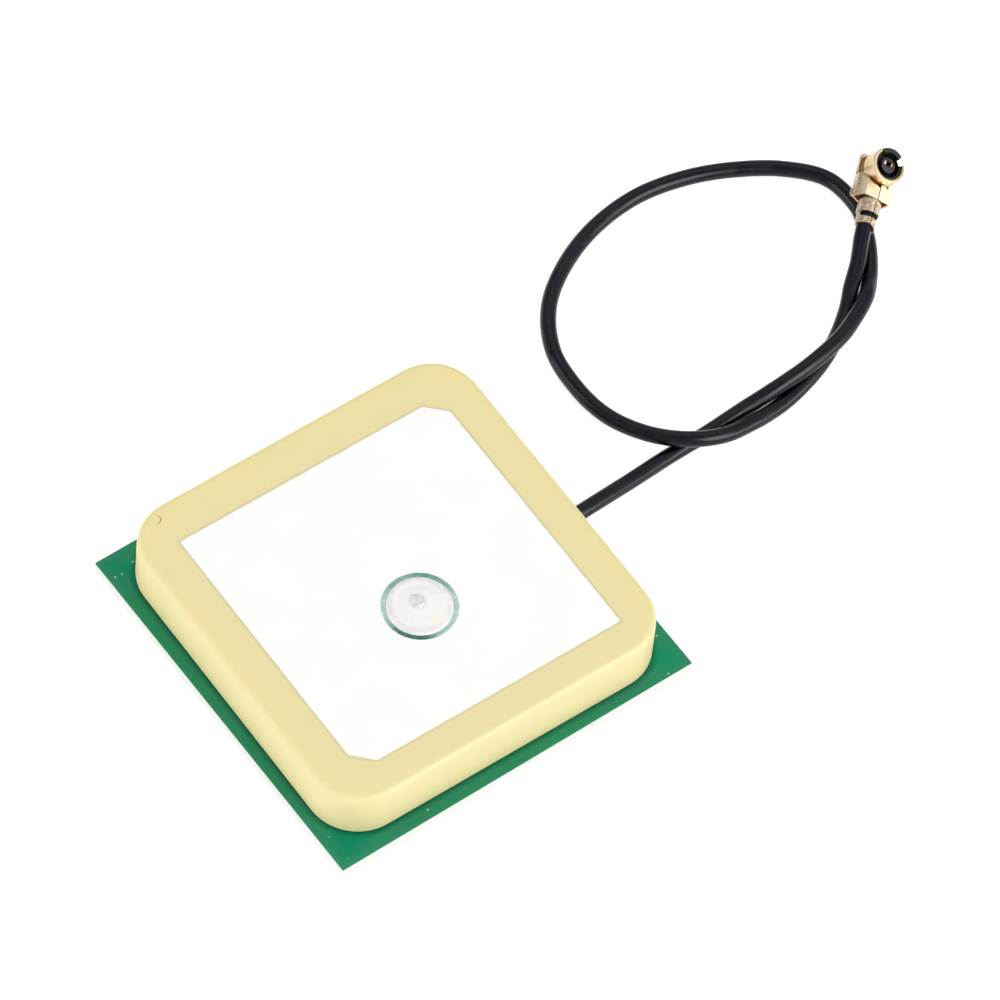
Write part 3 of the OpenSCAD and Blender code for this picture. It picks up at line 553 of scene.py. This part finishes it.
def shell_paint():
    """Thin gold over bronze sheet: pale and warm on the folded top, tan and dull on the ring and the
    crimps, brown and without gloss where a recess was pressed, which is painted shade. Light and shade
    are also painted on the top's halves and far strip, the right side, under the fold, beside the wing,
    at the slot, and on the wall and lip."""
    paint = Paint("gold_plate", rough=0.3, metal=SHELL_METAL)
    x, y, z, radius = plug_places(paint)
    clouds = paint.noise(0.45, detail=4, rough=0.6)
    mottle = paint.noise(0.2, detail=3, rough=0.6)
    dull_and_shade = paint.mix(paint.between(mottle, 0.38, 0.66), srgb(166, 148, 126), srgb(218, 198, 174))
    # painted shade on the right side's lower part, in the crimps' dull tone
    side = paint.product(paint.between(y, *SIDE_Y), paint.falling(z, *SIDE_Z))
    tone = paint.mix(side, shell_top(paint, y, clouds), dull_and_shade)
    crimps = paint.falling(x, *CRIMPS_X)
    tone = paint.mix(crimps, tone, dull_and_shade)
    # painted shade under the fold
    under_fold_shade = paint.product(paint.within(x, *FOLD_X, 0.1), paint.falling(z, *FOLD_Z),
                               paint.falling(radius, *FOLD_R), paint.falling(y, *FOLD_Y, most=0.7))
    tone = paint.mix(under_fold_shade, tone, srgb(214, 160, 118))
    wall = paint.product(paint.falling(radius, *WALL_R), paint.between(z, *WALL_Z))
    tone = paint.mix(wall, tone, shell_wall(paint, z, clouds))
    # painted shade over the lip's lit rim, a little paler on one side
    lip_shade = paint.mix(paint.between(y, *LIP_Y), srgb(178, 160, 126), srgb(206, 184, 154))
    tone = paint.mix(paint.between(z, *LIP_Z, to=(0.0, 0.9)), tone, lip_shade)
    # brown painted shade on the wall in the gap beside the wing
    gap_shade = paint.product(wall, paint.within(z, *GAP_SHADE_Z, 0.14), paint.falling(x, *GAP_SHADE_X),
                          paint.between(y, *GAP_SHADE_Y), paint.between(mottle, 0.25, 0.6, to=(0.95, 0.7)))
    tone = paint.mix(gap_shade, tone, srgb(132, 88, 46))
    # dark painted shade that widens the look of the slot between the crimps
    slot_shade = paint.product(paint.within(x, *SLOT_SHADE_X, 0.03),
                         paint.falling(paint.math("ABSOLUTE", y), *SLOT_SHADE_Y))
    tone = paint.mix(slot_shade, tone, srgb(20, 18, 18))
    # the pressed recess is painted brown and without gloss as painted shade, patchy with the mottle
    pressed = paint.product(paint.within(radius, *RECESS_R, 0.02), paint.within(z, *RECESS_Z, 0.03))
    marked = paint.product(pressed, paint.between(mottle, 0.2, 0.6, to=(1.0, 0.85)))
    paint.colour(paint.mix(marked, tone, srgb(128, 90, 50)))
    paint.link(paint.between(pressed, 0, 1, to=(SHELL_METAL, 0.1)), paint.shader.inputs["Metallic"])
    paint.link(paint.falling(pressed, 0, 1, most=0.5), paint.shader.inputs["Specular IOR Level"])
    paint.roughness(mottle, 0.3, 0.7, to=(0.24, 0.44))
    paint.bump(clouds, 0.006)
    return paint.material


def contact_paint():
    """Gold over bronze on the two leaves: one painted pale as lit, the other browner as painted shade.
    """
    paint = Paint("gold_contact", rough=0.35, metal=0.85)
    y = paint.along(PLUG_AT, PLUG_TURN @ AXES[1])
    clouds = paint.noise(0.15, detail=3, rough=0.6)
    # painted light and shade: one leaf paler, the other browner
    tone = paint.mix(paint.between(y, *LEAVES_Y), srgb(172, 130, 100), srgb(226, 206, 190))
    paint.colour(paint.mix(paint.between(clouds, 0.4, 0.7, to=(0.0, 0.4)), tone, srgb(140, 96, 62)))
    paint.bump(clouds, 0.006)
    return paint.material


def insulator_paint():
    """Black liquid-crystal polymer, greyer with painted highlights on the boss and the front wall's top.
    """
    paint = Paint("insulator_black", rough=0.42, ior=1.35)
    x, y, z, radius = plug_places(paint)
    grain = paint.noise(0.08, detail=4, rough=0.65)
    tone = paint.mix(paint.between(grain, 0.3, 0.7), srgb(12, 11, 14), srgb(22, 21, 24))
    # painted highlight on the boss's top, fading towards one side
    boss = paint.product(paint.falling(radius, *BOSS_R), paint.between(z, *BOSS_Z),
                         paint.between(x, *BOSS_X, to=(1.0, 0.3)))
    tone = paint.mix(boss, tone, srgb(58, 56, 62))
    # painted highlight along the front wall's top
    front = paint.product(paint.between(z, *FRONT_Z), paint.between(x, *FRONT_X), 0.7)
    tone = paint.mix(front, tone, srgb(42, 46, 42))
    pocket = paint.near(on_plug(*POCKET), *POCKET_REACH)
    paint.colour(paint.mix(pocket, tone, srgb(84, 48, 20)))
    paint.roughness(grain, 0.3, 0.7, to=(0.36, 0.5))
    paint.bump(grain, 0.003)
    return paint.material


def dielectric_paint():
    """Clear fluoropolymer: pale at the board, painted browner in the plug as shade and reflection of the
    gold round it.
    """
    paint = Paint("dielectric_white", rough=0.35)
    grain = paint.noise(0.3, detail=4, rough=0.65)
    pale = paint.mix(paint.between(grain, 0.3, 0.7), srgb(206, 190, 160), srgb(222, 208, 180))
    # painted shade and reflection of the plug's gold
    paint.colour(paint.mix(paint.near(PLUG_AT, *GOLD_SHADE_REACH), pale, srgb(118, 80, 44)))
    paint.roughness(grain, 0.3, 0.7, to=(0.3, 0.44))
    paint.bump(grain, 0.004)
    return paint.material


# plain materials and the list of them all

# dark tone, light tone, size of the grain, roughness, and 1 for a metal
PLAIN_PAINTS = {
    "adhesive": ((226, 220, 204), (244, 240, 228), 0.3, 0.6, 0),
    "tinned_copper": ((190, 190, 188), (225, 225, 222), 0.5, 0.35, 1),
    "tinned_steel": ((188, 188, 186), (212, 212, 208), 2.0, 0.3, 1),
    "moulding_black": ((30, 30, 32), (44, 44, 46), 0.06, 0.55, 0),
    "filter_lid": ((205, 190, 150), (225, 212, 175), 0.4, 0.3, 1),
    "chip_brown": ((150, 116, 84), (176, 142, 106), 0.1, 0.5, 0),
    "chip_black": ((32, 32, 36), (48, 48, 52), 0.1, 0.4, 0),
    "chip_grey": ((168, 180, 188), (196, 206, 212), 0.1, 0.45, 0),
    "tinned_braid": ((148, 138, 120), (196, 186, 168), 0.1, 0.4, 1),
    "plated_conductor": ((190, 184, 172), (218, 212, 200), 0.1, 0.3, 1),
}


def plain_paint(name, dark, light, size, rough, metal):
    """Two near tones in a fine grain, with a roughness and relief that follow it."""
    paint = Paint(name, rough=rough, metal=metal)
    grain = paint.noise(size, detail=4, rough=0.65)
    paint.colour(paint.mix(paint.between(grain, 0.3, 0.7), srgb(*dark), srgb(*light)))
    paint.roughness(grain, 0.3, 0.7, to=(rough - 0.06, rough + 0.08))
    paint.bump(grain, 0.004)
    return paint.material


PAINTS = {
    "ceramic": ceramic_paint(),
    "fired_silver": silver_paint(),
    "green_ink": ink_paint(),
    "tinned_pin": pin_paint(),
    "solder": solder_paint(),
    "green_board": mask_paint(),
    "board_edge": edge_paint(),
    "jacket_black": jacket_paint(),
    "dielectric_white": dielectric_paint(),
    "gold_plate": shell_paint(),
    "insulator_black": insulator_paint(),
    "gold_contact": contact_paint(),
}
for name, look in PLAIN_PAINTS.items():
    PAINTS[name] = plain_paint(name, *look)
for node, slot_shade in SLOTS.items():
    NODES[node].data.materials.clear()
    NODES[node].data.materials.append(PAINTS[slot_shade])


def add(name, mesh, node):
    """Links a piece that stands for a CAD node on the one body, in the node's material."""
    piece = bpy.data.objects.new(name, mesh)
    bpy.context.collection.objects.link(piece)
    if not mesh.materials:
        mesh.materials.append(PAINTS[SLOTS[node]])
    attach(piece, "root")
    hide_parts(node)
    return piece


def to_mesh(name, bm, smooth_angle):
    """Mesh from a bmesh drawn in millimetres; edges over smooth_angle degrees stay sharp."""
    bmesh.ops.recalc_face_normals(bm, faces=bm.faces)
    bmesh.ops.scale(bm, vec=(MM, MM, MM), verts=bm.verts)
    mesh = bpy.data.meshes.new(name)
    bm.to_mesh(mesh)
    bm.free()
    for face in mesh.polygons:
        face.use_smooth = True
    mesh.set_sharp_from_angle(angle=math.radians(smooth_angle))
    return mesh


def cad_copy(node):
    """bmesh of a CAD node, in millimetres."""
    bm = bmesh.new()
    bm.from_mesh(NODES[node].data)
    bmesh.ops.scale(bm, vec=(1 / MM, 1 / MM, 1 / MM), verts=bm.verts)
    return bm


def wobble(point, size, depth):
    """Smooth value between about -depth and depth that varies over size."""
    return depth * noise.noise(Vector(point) / size)


def softened(node, width, angle=30, segments=2):
    """bmesh of a CAD node with its edges over angle degrees slightly rounded."""
    bm = cad_copy(node)
    bmesh.ops.remove_doubles(bm, verts=bm.verts, dist=1e-4)
    bmesh.ops.dissolve_limit(bm, angle_limit=math.radians(1), verts=bm.verts, edges=bm.edges)
    sharp = [edge for edge in bm.edges if len(edge.link_faces) == 2
             and edge.calc_face_angle() > math.radians(angle)]
    bmesh.ops.bevel(bm, geom=sharp, offset=width, segments=segments, profile=0.6,
                    affect="EDGES", clamp_overlap=True)
    return bm


def lofted(loops, closed=False):
    """bmesh of quads through equal loops of points, with its two ends capped unless closed."""
    bm = bmesh.new()
    made = [[bm.verts.new(point) for point in loop] for loop in loops]
    count = len(loops[0])
    for one, other in zip(made, made[1:] + (made[:1] if closed else [])):
        for i in range(count):
            j = (i + 1) % count
            bm.faces.new((one[i], one[j], other[j], other[i]))
    if not closed:
        bm.faces.new(made[0])
        bm.faces.new(made[-1])
    return bm


def turned(profile, at, count, uneven):
    """Loops of a shape turned about a point: profile lists (radius, height), and uneven gives
    each point's small shift from its place, radius and angle."""
    loops = []
    for radius, height in profile:
        loop = []
        for i in range(count):
            angle = 2 * math.pi * i / count
            point = Vector((at[0] + radius * math.cos(angle), at[1] + radius * math.sin(angle), height))
            loop.append(point + uneven(point, radius, angle))
        loops.append(loop)
    return loops


def outline(corners, radius, step):
    """Closed outline with its corners rounded and its sides cut into lengths of about step."""
    points = []
    count = len(corners)
    for i in range(count):
        before, here, after = (Vector(corners[(i + k) % count]) for k in (-1, 0, 1))
        start = here - (here - before).normalized() * radius
        end = here + (after - here).normalized() * radius
        points += [start.lerp(here, t).lerp(here.lerp(end, t), t) for t in (0, 0.25, 0.5, 0.75)]
        goal = after - (after - here).normalized() * radius
        lengths = max(1, int((goal - end).length / step))
        points += [end.lerp(goal, k / lengths) for k in range(lengths)]
    return points


# the lead and the plug's moulding

LEAD_D = 1.08
# between the board's underside and the lead where it leaves
LEAD_GAP = 0.035
LEAD_Z = BOARD_BOTTOM - LEAD_GAP - LEAD_D / 2
LEAD_STEPS = 10
LEAD_SIDES = 28
LEAD_UNEVEN = 0.006
LEAD_INSET = 0.004
# how far behind the plug's axis the lead becomes straight, and its jacket ends
LEAD_STRAIGHT = 4.9
JACKET_END = 3.2

# the loop of part.scad, drawn for a lead of LOOP_D: its heights follow the lead's own diameter
LOOP_D = 1.13
LOOP = (
    (19, 0.6, 1.36), (22.6, 1.05, 0.69), (25.8, 1.15, 0.58), (28.6, 1.22, 0.77),
    (31.3, 1.07, 1.37), (34, 1.15, 1.71), (36.8, 1.7, 1.73), (38.65, 2.5, 1.57),
    (40.3, 3.45, 1.38), (41.5, 4.6, 0.83), (42.6, 5.95, 0.63), (43.6, 7.6, 0.58),
    (44.45, 9.8, 0.6), (44.15, 12.6, 0.62), (42.3, 14.8, 0.59), (39.7, 16.5, 0.59),
    (36.6, 17.8, 0.6), (33.1, 18.45, 0.59), (29.5, 18.1, 0.58), (26.1, 16.85, 0.58),
    (23.2, 14.8, 0.58), (21.35, 11.9, 0.58), (20.85, 8.8, 0.63), (21.05, 5.75, 0.94),
    (22.1, 3.1, 1.4), (23.8, 1.1, 1.74), (26.05, 0.05, 1.53), (28.4, -0.02, 1.01),
    (30.85, 0.19, 0.62), (33.15, 0.65, 0.58), (35.35, 1.4, 0.6), (37.2, 2.4, 0.6),
    (38.87, 3.59, 0.74), (40.15, 4.77, 1.17), (41.45, 5.85, 1.49),
)
# the route: out of the can, down to the surface, once round and up to the plug
ROUTE = ([Vector(point) for point in ((9.5, 0, LEAD_Z), (12.5, 0, LEAD_Z), (15.3, 0.15, LEAD_Z - 0.08))]
         + [Vector((x, y, z * LEAD_D / LOOP_D)) for x, y, z in LOOP]
         + [on_plug(-LEAD_STRAIGHT, 0, 0), on_plug(-JACKET_END, 0, 0)])

# in the plug's own axes: the notch's bottom as built, how near it a point of it lies, and the
# side it is on, then the heights of the new bottom inside the wall and of the sill, which begins
# at a radius
NOTCH_Z = -0.2
NOTCH_NEAR = 0.01
NOTCH_SIDE_Y = -0.45
NOTCH_FLOOR_Z = 0.48
NOTCH_SILL_Z = 0.96
NOTCH_SILL_R = 0.97


def along_route():
    """Points of the smooth curve through the route's points."""
    held = [2 * ROUTE[0] - ROUTE[1]] + ROUTE + [2 * ROUTE[-1] - ROUTE[-2]]
    points = []
    for a, b, c, d in zip(held, held[1:], held[2:], held[3:]):
        for k in range(LEAD_STEPS):
            t = k / LEAD_STEPS
            points.append(0.5 * (2 * b + (c - a) * t + (2 * a - 5 * b + 4 * c - d) * t ** 2
                                 + (3 * b - a - 3 * c + d) * t ** 3))
    return points + [ROUTE[-1]]


def make_lead():
    """The jacket: a round tube along the route, very slightly uneven as thin extrusions are."""
    points = along_route()
    side = AXES[1]
    loops = []
    for i, point in enumerate(points):
        ahead = (points[min(i + 1, len(points) - 1)] - points[max(i - 1, 0)]).normalized()
        side = (side - ahead * side.dot(ahead)).normalized()
        up = ahead.cross(side)
        loop = []
        for k in range(LEAD_SIDES):
            angle = 2 * math.pi * k / LEAD_SIDES
            out = math.cos(angle) * side + math.sin(angle) * up
            radius = LEAD_D / 2 - LEAD_INSET + wobble(point + out, 1.3, LEAD_UNEVEN)
            loop.append(point + out * radius)
        loops.append(loop)
    return add("lead_jacket", to_mesh("lead_jacket", lofted(loops), 50), "cable_jacket"), points


def make_insulator():
    """The plug's moulding, with a sill left in its notch above the floor of the groove."""
    bm = cad_copy("plug_insulator")
    for vert in bm.verts:
        local = PLUG_TURN.transposed() @ (vert.co - PLUG_AT)
        if abs(local.z - NOTCH_Z) < NOTCH_NEAR and local.y < NOTCH_SIDE_Y:
            z = NOTCH_SILL_Z if math.hypot(local.x, local.y) > NOTCH_SILL_R else NOTCH_FLOOR_Z
            vert.co = on_plug(local.x, local.y, z)
    return add("insulator", to_mesh("insulator", bm, 30), "plug_insulator")


lead, lead_line = make_lead()
insulator = make_insulator()


# the board, the patch and the feed

# the radius and step of an outline are those of its corners and of the lengths of its sides
BOARD_CORNER_R = 0.06
BOARD_STEP = 0.12
BOARD_RIM = 0.03
BOARD_LAYERS = 6
SAWN_ROUGH = 0.03
RIM_ROUGH = 0.008
PATCH_CORNER_R = 0.12
PATCH_STEP = 0.09
PATCH_RIM = 0.012
PATCH_WANDER = 0.02
# the ring's line width, how much its crown drops at its shoulders, and how far in they lie
RING_LINE = 0.33
RING_DROP = 0.008
RING_SHOULDER = 0.02
RING_FLAT = 0.08
RING_WAVER = 0.02
RING_SIDES = 160
SOLDER_SIDES = 128
PIN_SIDES = 48
PIN_HEAD_H = 0.26
PIN_SHANK_R = 0.4
PIN_CHAMFER_H = 0.2
# the top joint's inner radius, hidden in the pin's head, and the radii between which its rings
# move from the pin's middle to the printed ring's
SOLDER_INNER_R = 0.44
LEAN_START_R = 0.5
LEAN_END_R = 1.6
# the top joint's shape from the pin outward: radius, and height as a share of its full height
SOLDER_SHAPE = ((0.56, 1.0), (0.75, 0.95), (0.95, 0.86), (1.2, 0.72), (1.45, 0.58), (1.65, 0.5),
                (1.78, 0.52), (1.88, 0.44), (1.98, 0.32))
# its two waves: their plane of the noise, their breadth and their height
SOLDER_WAVES = ((7, 0.8, 0.03), (9, 0.3, 0.014))


def make_board():
    """Board sawn from a panel: flat faces, slightly rough sides that show the bare laminate."""
    low, high = box_mm("circuit_board")
    corners = [(low.x, low.y), (high.x, low.y), (high.x, high.y), (low.x, high.y)]
    centre = (low + high) / 2
    inner = high.z - low.z - 2 * BOARD_RIM
    levels = [(low.z, BOARD_RIM)]
    levels += [(low.z + BOARD_RIM + inner * k / BOARD_LAYERS, 0) for k in range(BOARD_LAYERS + 1)]
    levels += [(high.z, BOARD_RIM)]
    loops = []
    for z, inset in levels:
        rough = SAWN_ROUGH if low.z + 2 * BOARD_RIM < z < high.z - 2 * BOARD_RIM else RIM_ROUGH
        loop = []
        for x, y in outline(corners, BOARD_CORNER_R, BOARD_STEP):
            inward = Vector((centre.x - x, centre.y - y, 0)).normalized()
            depth = inset + rough * (0.5 + 0.5 * noise.noise(Vector((x * 5, y * 5, z * 12))))
            loop.append(Vector((x, y, z)) + inward * depth)
        loops.append(loop)
    mesh = to_mesh("board", lofted(loops), 40)
    mesh.materials.append(PAINTS["green_board"])
    mesh.materials.append(PAINTS["board_edge"])
    for face in mesh.polygons:
        face.material_index = 0 if abs(face.normal.z) > 0.5 else 1
    return add("board", mesh, "circuit_board")


def make_patch():
    """Screen-printed silver: its edge wanders a little and is slightly rounded."""
    low, high = box_mm("patch_electrode")
    half = PATCH_SIDE / 2
    corners = [(-half, -half + PATCH_CUT), (-half + PATCH_CUT, -half), (half, -half),
               (half, half - PATCH_CUT), (half - PATCH_CUT, half), (-half, half)]
    loops = []
    for z, inset in ((low.z, 0.0), (high.z - PATCH_RIM, 0.0), (high.z, PATCH_RIM)):
        loop = []
        for x, y in outline(corners, PATCH_CORNER_R, PATCH_STEP):
            out = Vector((x, y)).normalized()
            wander = wobble((x, y, 0), 0.35, PATCH_WANDER) + wobble((x, y, 3), 1.6, PATCH_WANDER)
            spot = Vector((x, y)) + out * (wander - PATCH_RIM - inset)
            loop.append(on_block(spot.x, spot.y + PATCH_Y, z))
        loops.append(loop)
    return add("patch", to_mesh("patch", lofted(loops), 40), "patch_electrode")


def make_ring():
    """Printed ring with a low crown and wavering edges."""
    low, high = box_mm("solder_stop_ring")
    outer = (high.x - low.x) / 2
    inner = outer - RING_LINE
    crown = [(inner, low.z), (inner + RING_SHOULDER, high.z - RING_DROP), (inner + RING_FLAT, high.z),
             (outer - RING_FLAT, high.z), (outer - RING_SHOULDER, high.z - RING_DROP), (outer, low.z)]

    def waver(point, radius, angle):
        side = 1 if radius > (inner + outer) / 2 else -1
        out = Vector((math.cos(angle), math.sin(angle), 0))
        return out * (wobble((point.x, point.y, side * 5), 0.3, RING_WAVER) - RING_DROP * side)

    bm = lofted(turned(crown, middle_of("solder_stop_ring"), RING_SIDES, waver), closed=True)
    return add("printed_ring", to_mesh("printed_ring", bm, 50), "solder_stop_ring")


def make_top_solder():
    """Low joint: a wetted skirt, a faint ridge, and a slope up to the pin's head."""
    low, high = box_mm("feed_solder_top")
    ring = Vector(middle_of("feed_solder_top"))
    pin = Vector(middle_of("feed_pin"))
    reach = (high.x - low.x) / 2
    shape = [(SOLDER_INNER_R, 0.0), (SOLDER_INNER_R, 0.96), *SOLDER_SHAPE,
             (reach - 0.08, 0.27), (reach - 0.02, 0.17), (reach, 0.0)]
    loops = []
    for radius, share in shape:
        lean = (radius - LEAN_START_R) / (LEAN_END_R - LEAN_START_R)
        toward = pin.lerp(ring, min(1.0, max(0.0, lean)))
        loop = []
        for i in range(SOLDER_SIDES):
            angle = 2 * math.pi * i / SOLDER_SIDES
            x = toward.x + radius * math.cos(angle)
            y = toward.y + radius * math.sin(angle)
            lift = sum(wobble((x, y, plane), size, depth) for plane, size, depth in SOLDER_WAVES)
            z = min(low.z + (high.z - low.z) * share + lift, high.z) if share else low.z
            loop.append(Vector((x, y, z)))
        loops.append(loop)
    return add("top_solder", to_mesh("top_solder", lofted(loops, closed=True), 60), "feed_solder_top")


def make_pin():
    """Turned pin: domed head with a shallow dimple, plain shank and chamfered tail."""
    low, high = box_mm("feed_pin")
    head = (high.x - low.x) / 2
    under = high.z - PIN_HEAD_H
    profile = [(0.02, low.z), (PIN_SHANK_R * 0.6, low.z), (PIN_SHANK_R, low.z + PIN_CHAMFER_H),
               (PIN_SHANK_R, under), (head - 0.03, under), (head, under + 0.04),
               (head, high.z - 0.08), (head * 0.95, high.z - 0.035), (head * 0.8, high.z - 0.01),
               (head * 0.55, high.z), (head * 0.3, high.z - 0.02), (0.02, high.z - 0.035)]

    def marked(point, radius, angle):
        if point.z < high.z - 0.1:
            return Vector()
        return Vector((0, 0, min(0.0, wobble((point.x, point.y, 4), 0.25, 0.02) - 0.006)))

    bm = lofted(turned(profile, middle_of("feed_pin"), PIN_SIDES, marked))
    return add("pin", to_mesh("pin", bm, 50), "feed_pin")


make_board()
make_patch()
make_ring()
make_top_solder()
make_pin()


# the can and the chips, which keep their shape and get the small radii of real ones

SOFT_EDGES = {
    "shield_can": 0.02, "amplifier_first": 0.03, "amplifier_second": 0.03, "saw_filter": 0.02,
    "capacitors": 0.015, "resistors": 0.015, "inductors": 0.015,
}
for node, width in SOFT_EDGES.items():
    add(node + "_soft", to_mesh(node + "_soft", softened(node, width), 30), node)


# the studio, in metres

WHITE = (1, 1, 1, 1)
FLOOR_SIDE = 6.0
FLOOR_COLOUR = srgb(245, 245, 245)
FLOOR_GLOW = 0.64
# the floor lies this far under the object, so that the two faces are not in one plane
FLOOR_DROP = 0.00002
WORLD_LEVEL = 0.6
MIDDLE = (0.012, 0.0, 0.004)
LEAD_MIDDLE = (0.028, 0.0, 0.004)


def seen_through(nodes, links):
    """1 for what the camera sees, straight or in a mirror or through glass."""
    path = nodes.new("ShaderNodeLightPath")
    total = path.outputs["Is Camera Ray"]
    for kind in ("Is Glossy Ray", "Is Transmission Ray"):
        either = nodes.new("ShaderNodeMath")
        either.operation = "MAXIMUM"
        links.new(total, either.inputs[0])
        links.new(path.outputs[kind], either.inputs[1])
        total = either.outputs[0]
    return total


def make_floor():
    """White floor that keeps the object's shadow and glows a little for what sees it."""
    bm = bmesh.new()
    bmesh.ops.create_grid(bm, x_segments=1, y_segments=1, size=FLOOR_SIDE / 2)
    mesh = bpy.data.meshes.new("floor")
    bm.to_mesh(mesh)
    bm.free()
    floor = bpy.data.objects.new("floor", mesh)
    bpy.context.collection.objects.link(floor)
    floor.location.z = -FLOOR_DROP
    material = bpy.data.materials.new("floor")
    material.use_nodes = True
    nodes = material.node_tree.nodes
    links = material.node_tree.links
    shader = nodes["Principled BSDF"]
    shader.inputs["Base Color"].default_value = FLOOR_COLOUR
    shader.inputs["Roughness"].default_value = 1
    shader.inputs["Specular IOR Level"].default_value = 0
    shader.inputs["Emission Color"].default_value = WHITE
    glow = nodes.new("ShaderNodeMath")
    glow.operation = "MULTIPLY"
    glow.inputs[1].default_value = FLOOR_GLOW
    links.new(seen_through(nodes, links), glow.inputs[0])
    links.new(glow.outputs[0], shader.inputs["Emission Strength"])
    mesh.materials.append(material)


def make_world():
    """White all round: full white for the camera, and a lower light on the object."""
    world = bpy.data.worlds.new("studio")
    bpy.context.scene.world = world
    world.use_nodes = True
    nodes = world.node_tree.nodes
    links = world.node_tree.links
    back = nodes["Background"]
    back.inputs["Color"].default_value = WHITE
    level = nodes.new("ShaderNodeMapRange")
    level.inputs["To Min"].default_value = WORLD_LEVEL
    level.inputs["To Max"].default_value = 1
    path = nodes.new("ShaderNodeLightPath")
    links.new(path.outputs["Is Camera Ray"], level.inputs["Value"])
    links.new(level.outputs["Result"], back.inputs["Strength"])


def add_lamp(name, at, aim, size, power, sheen_only=False):
    """Rectangular lamp at a place, turned to another; sheen_only ones show in reflections only."""
    data = bpy.data.lights.new(name, "AREA")
    data.shape = "RECTANGLE"
    data.size = size[0]
    data.size_y = size[1]
    data.energy = power
    lamp = bpy.data.objects.new(name, data)
    bpy.context.collection.objects.link(lamp)
    lamp.location = at
    lamp.rotation_mode = "QUATERNION"
    lamp.rotation_quaternion = (Vector(aim) - Vector(at)).to_track_quat("-Z", "Y")
    lamp.visible_diffuse = not sheen_only


make_floor()
make_world()
add_lamp("left_box", (-0.42, 0.20, 0.18), MIDDLE, (0.35, 0.3), 0.97)
add_lamp("front_box", (0.12, -0.40, 0.25), MIDDLE, (0.3, 0.3), 0.9)
add_lamp("front_sheen", (0.13, -0.39, 0.26), MIDDLE, (0.3, 0.38), 1.9, sheen_only=True)
add_lamp("low_sheen", (0.323, -0.378, 0.11), LEAD_MIDDLE, (0.16, 0.2), 0.56, sheen_only=True)
add_lamp("corner_box", (-0.34, -0.34, 0.14), MIDDLE, (0.4, 0.25), 0.22)
add_lamp("high_box", (0.40, -0.20, 0.30), MIDDLE, (0.42, 0.42), 0.35)
add_lamp("over_box", (0.20, 0.21, 0.44), MIDDLE, (0.35, 0.35), 0.28)

bpy.context.scene.view_settings.view_transform = "Standard"


# end

bpy.context.view_layer.update()
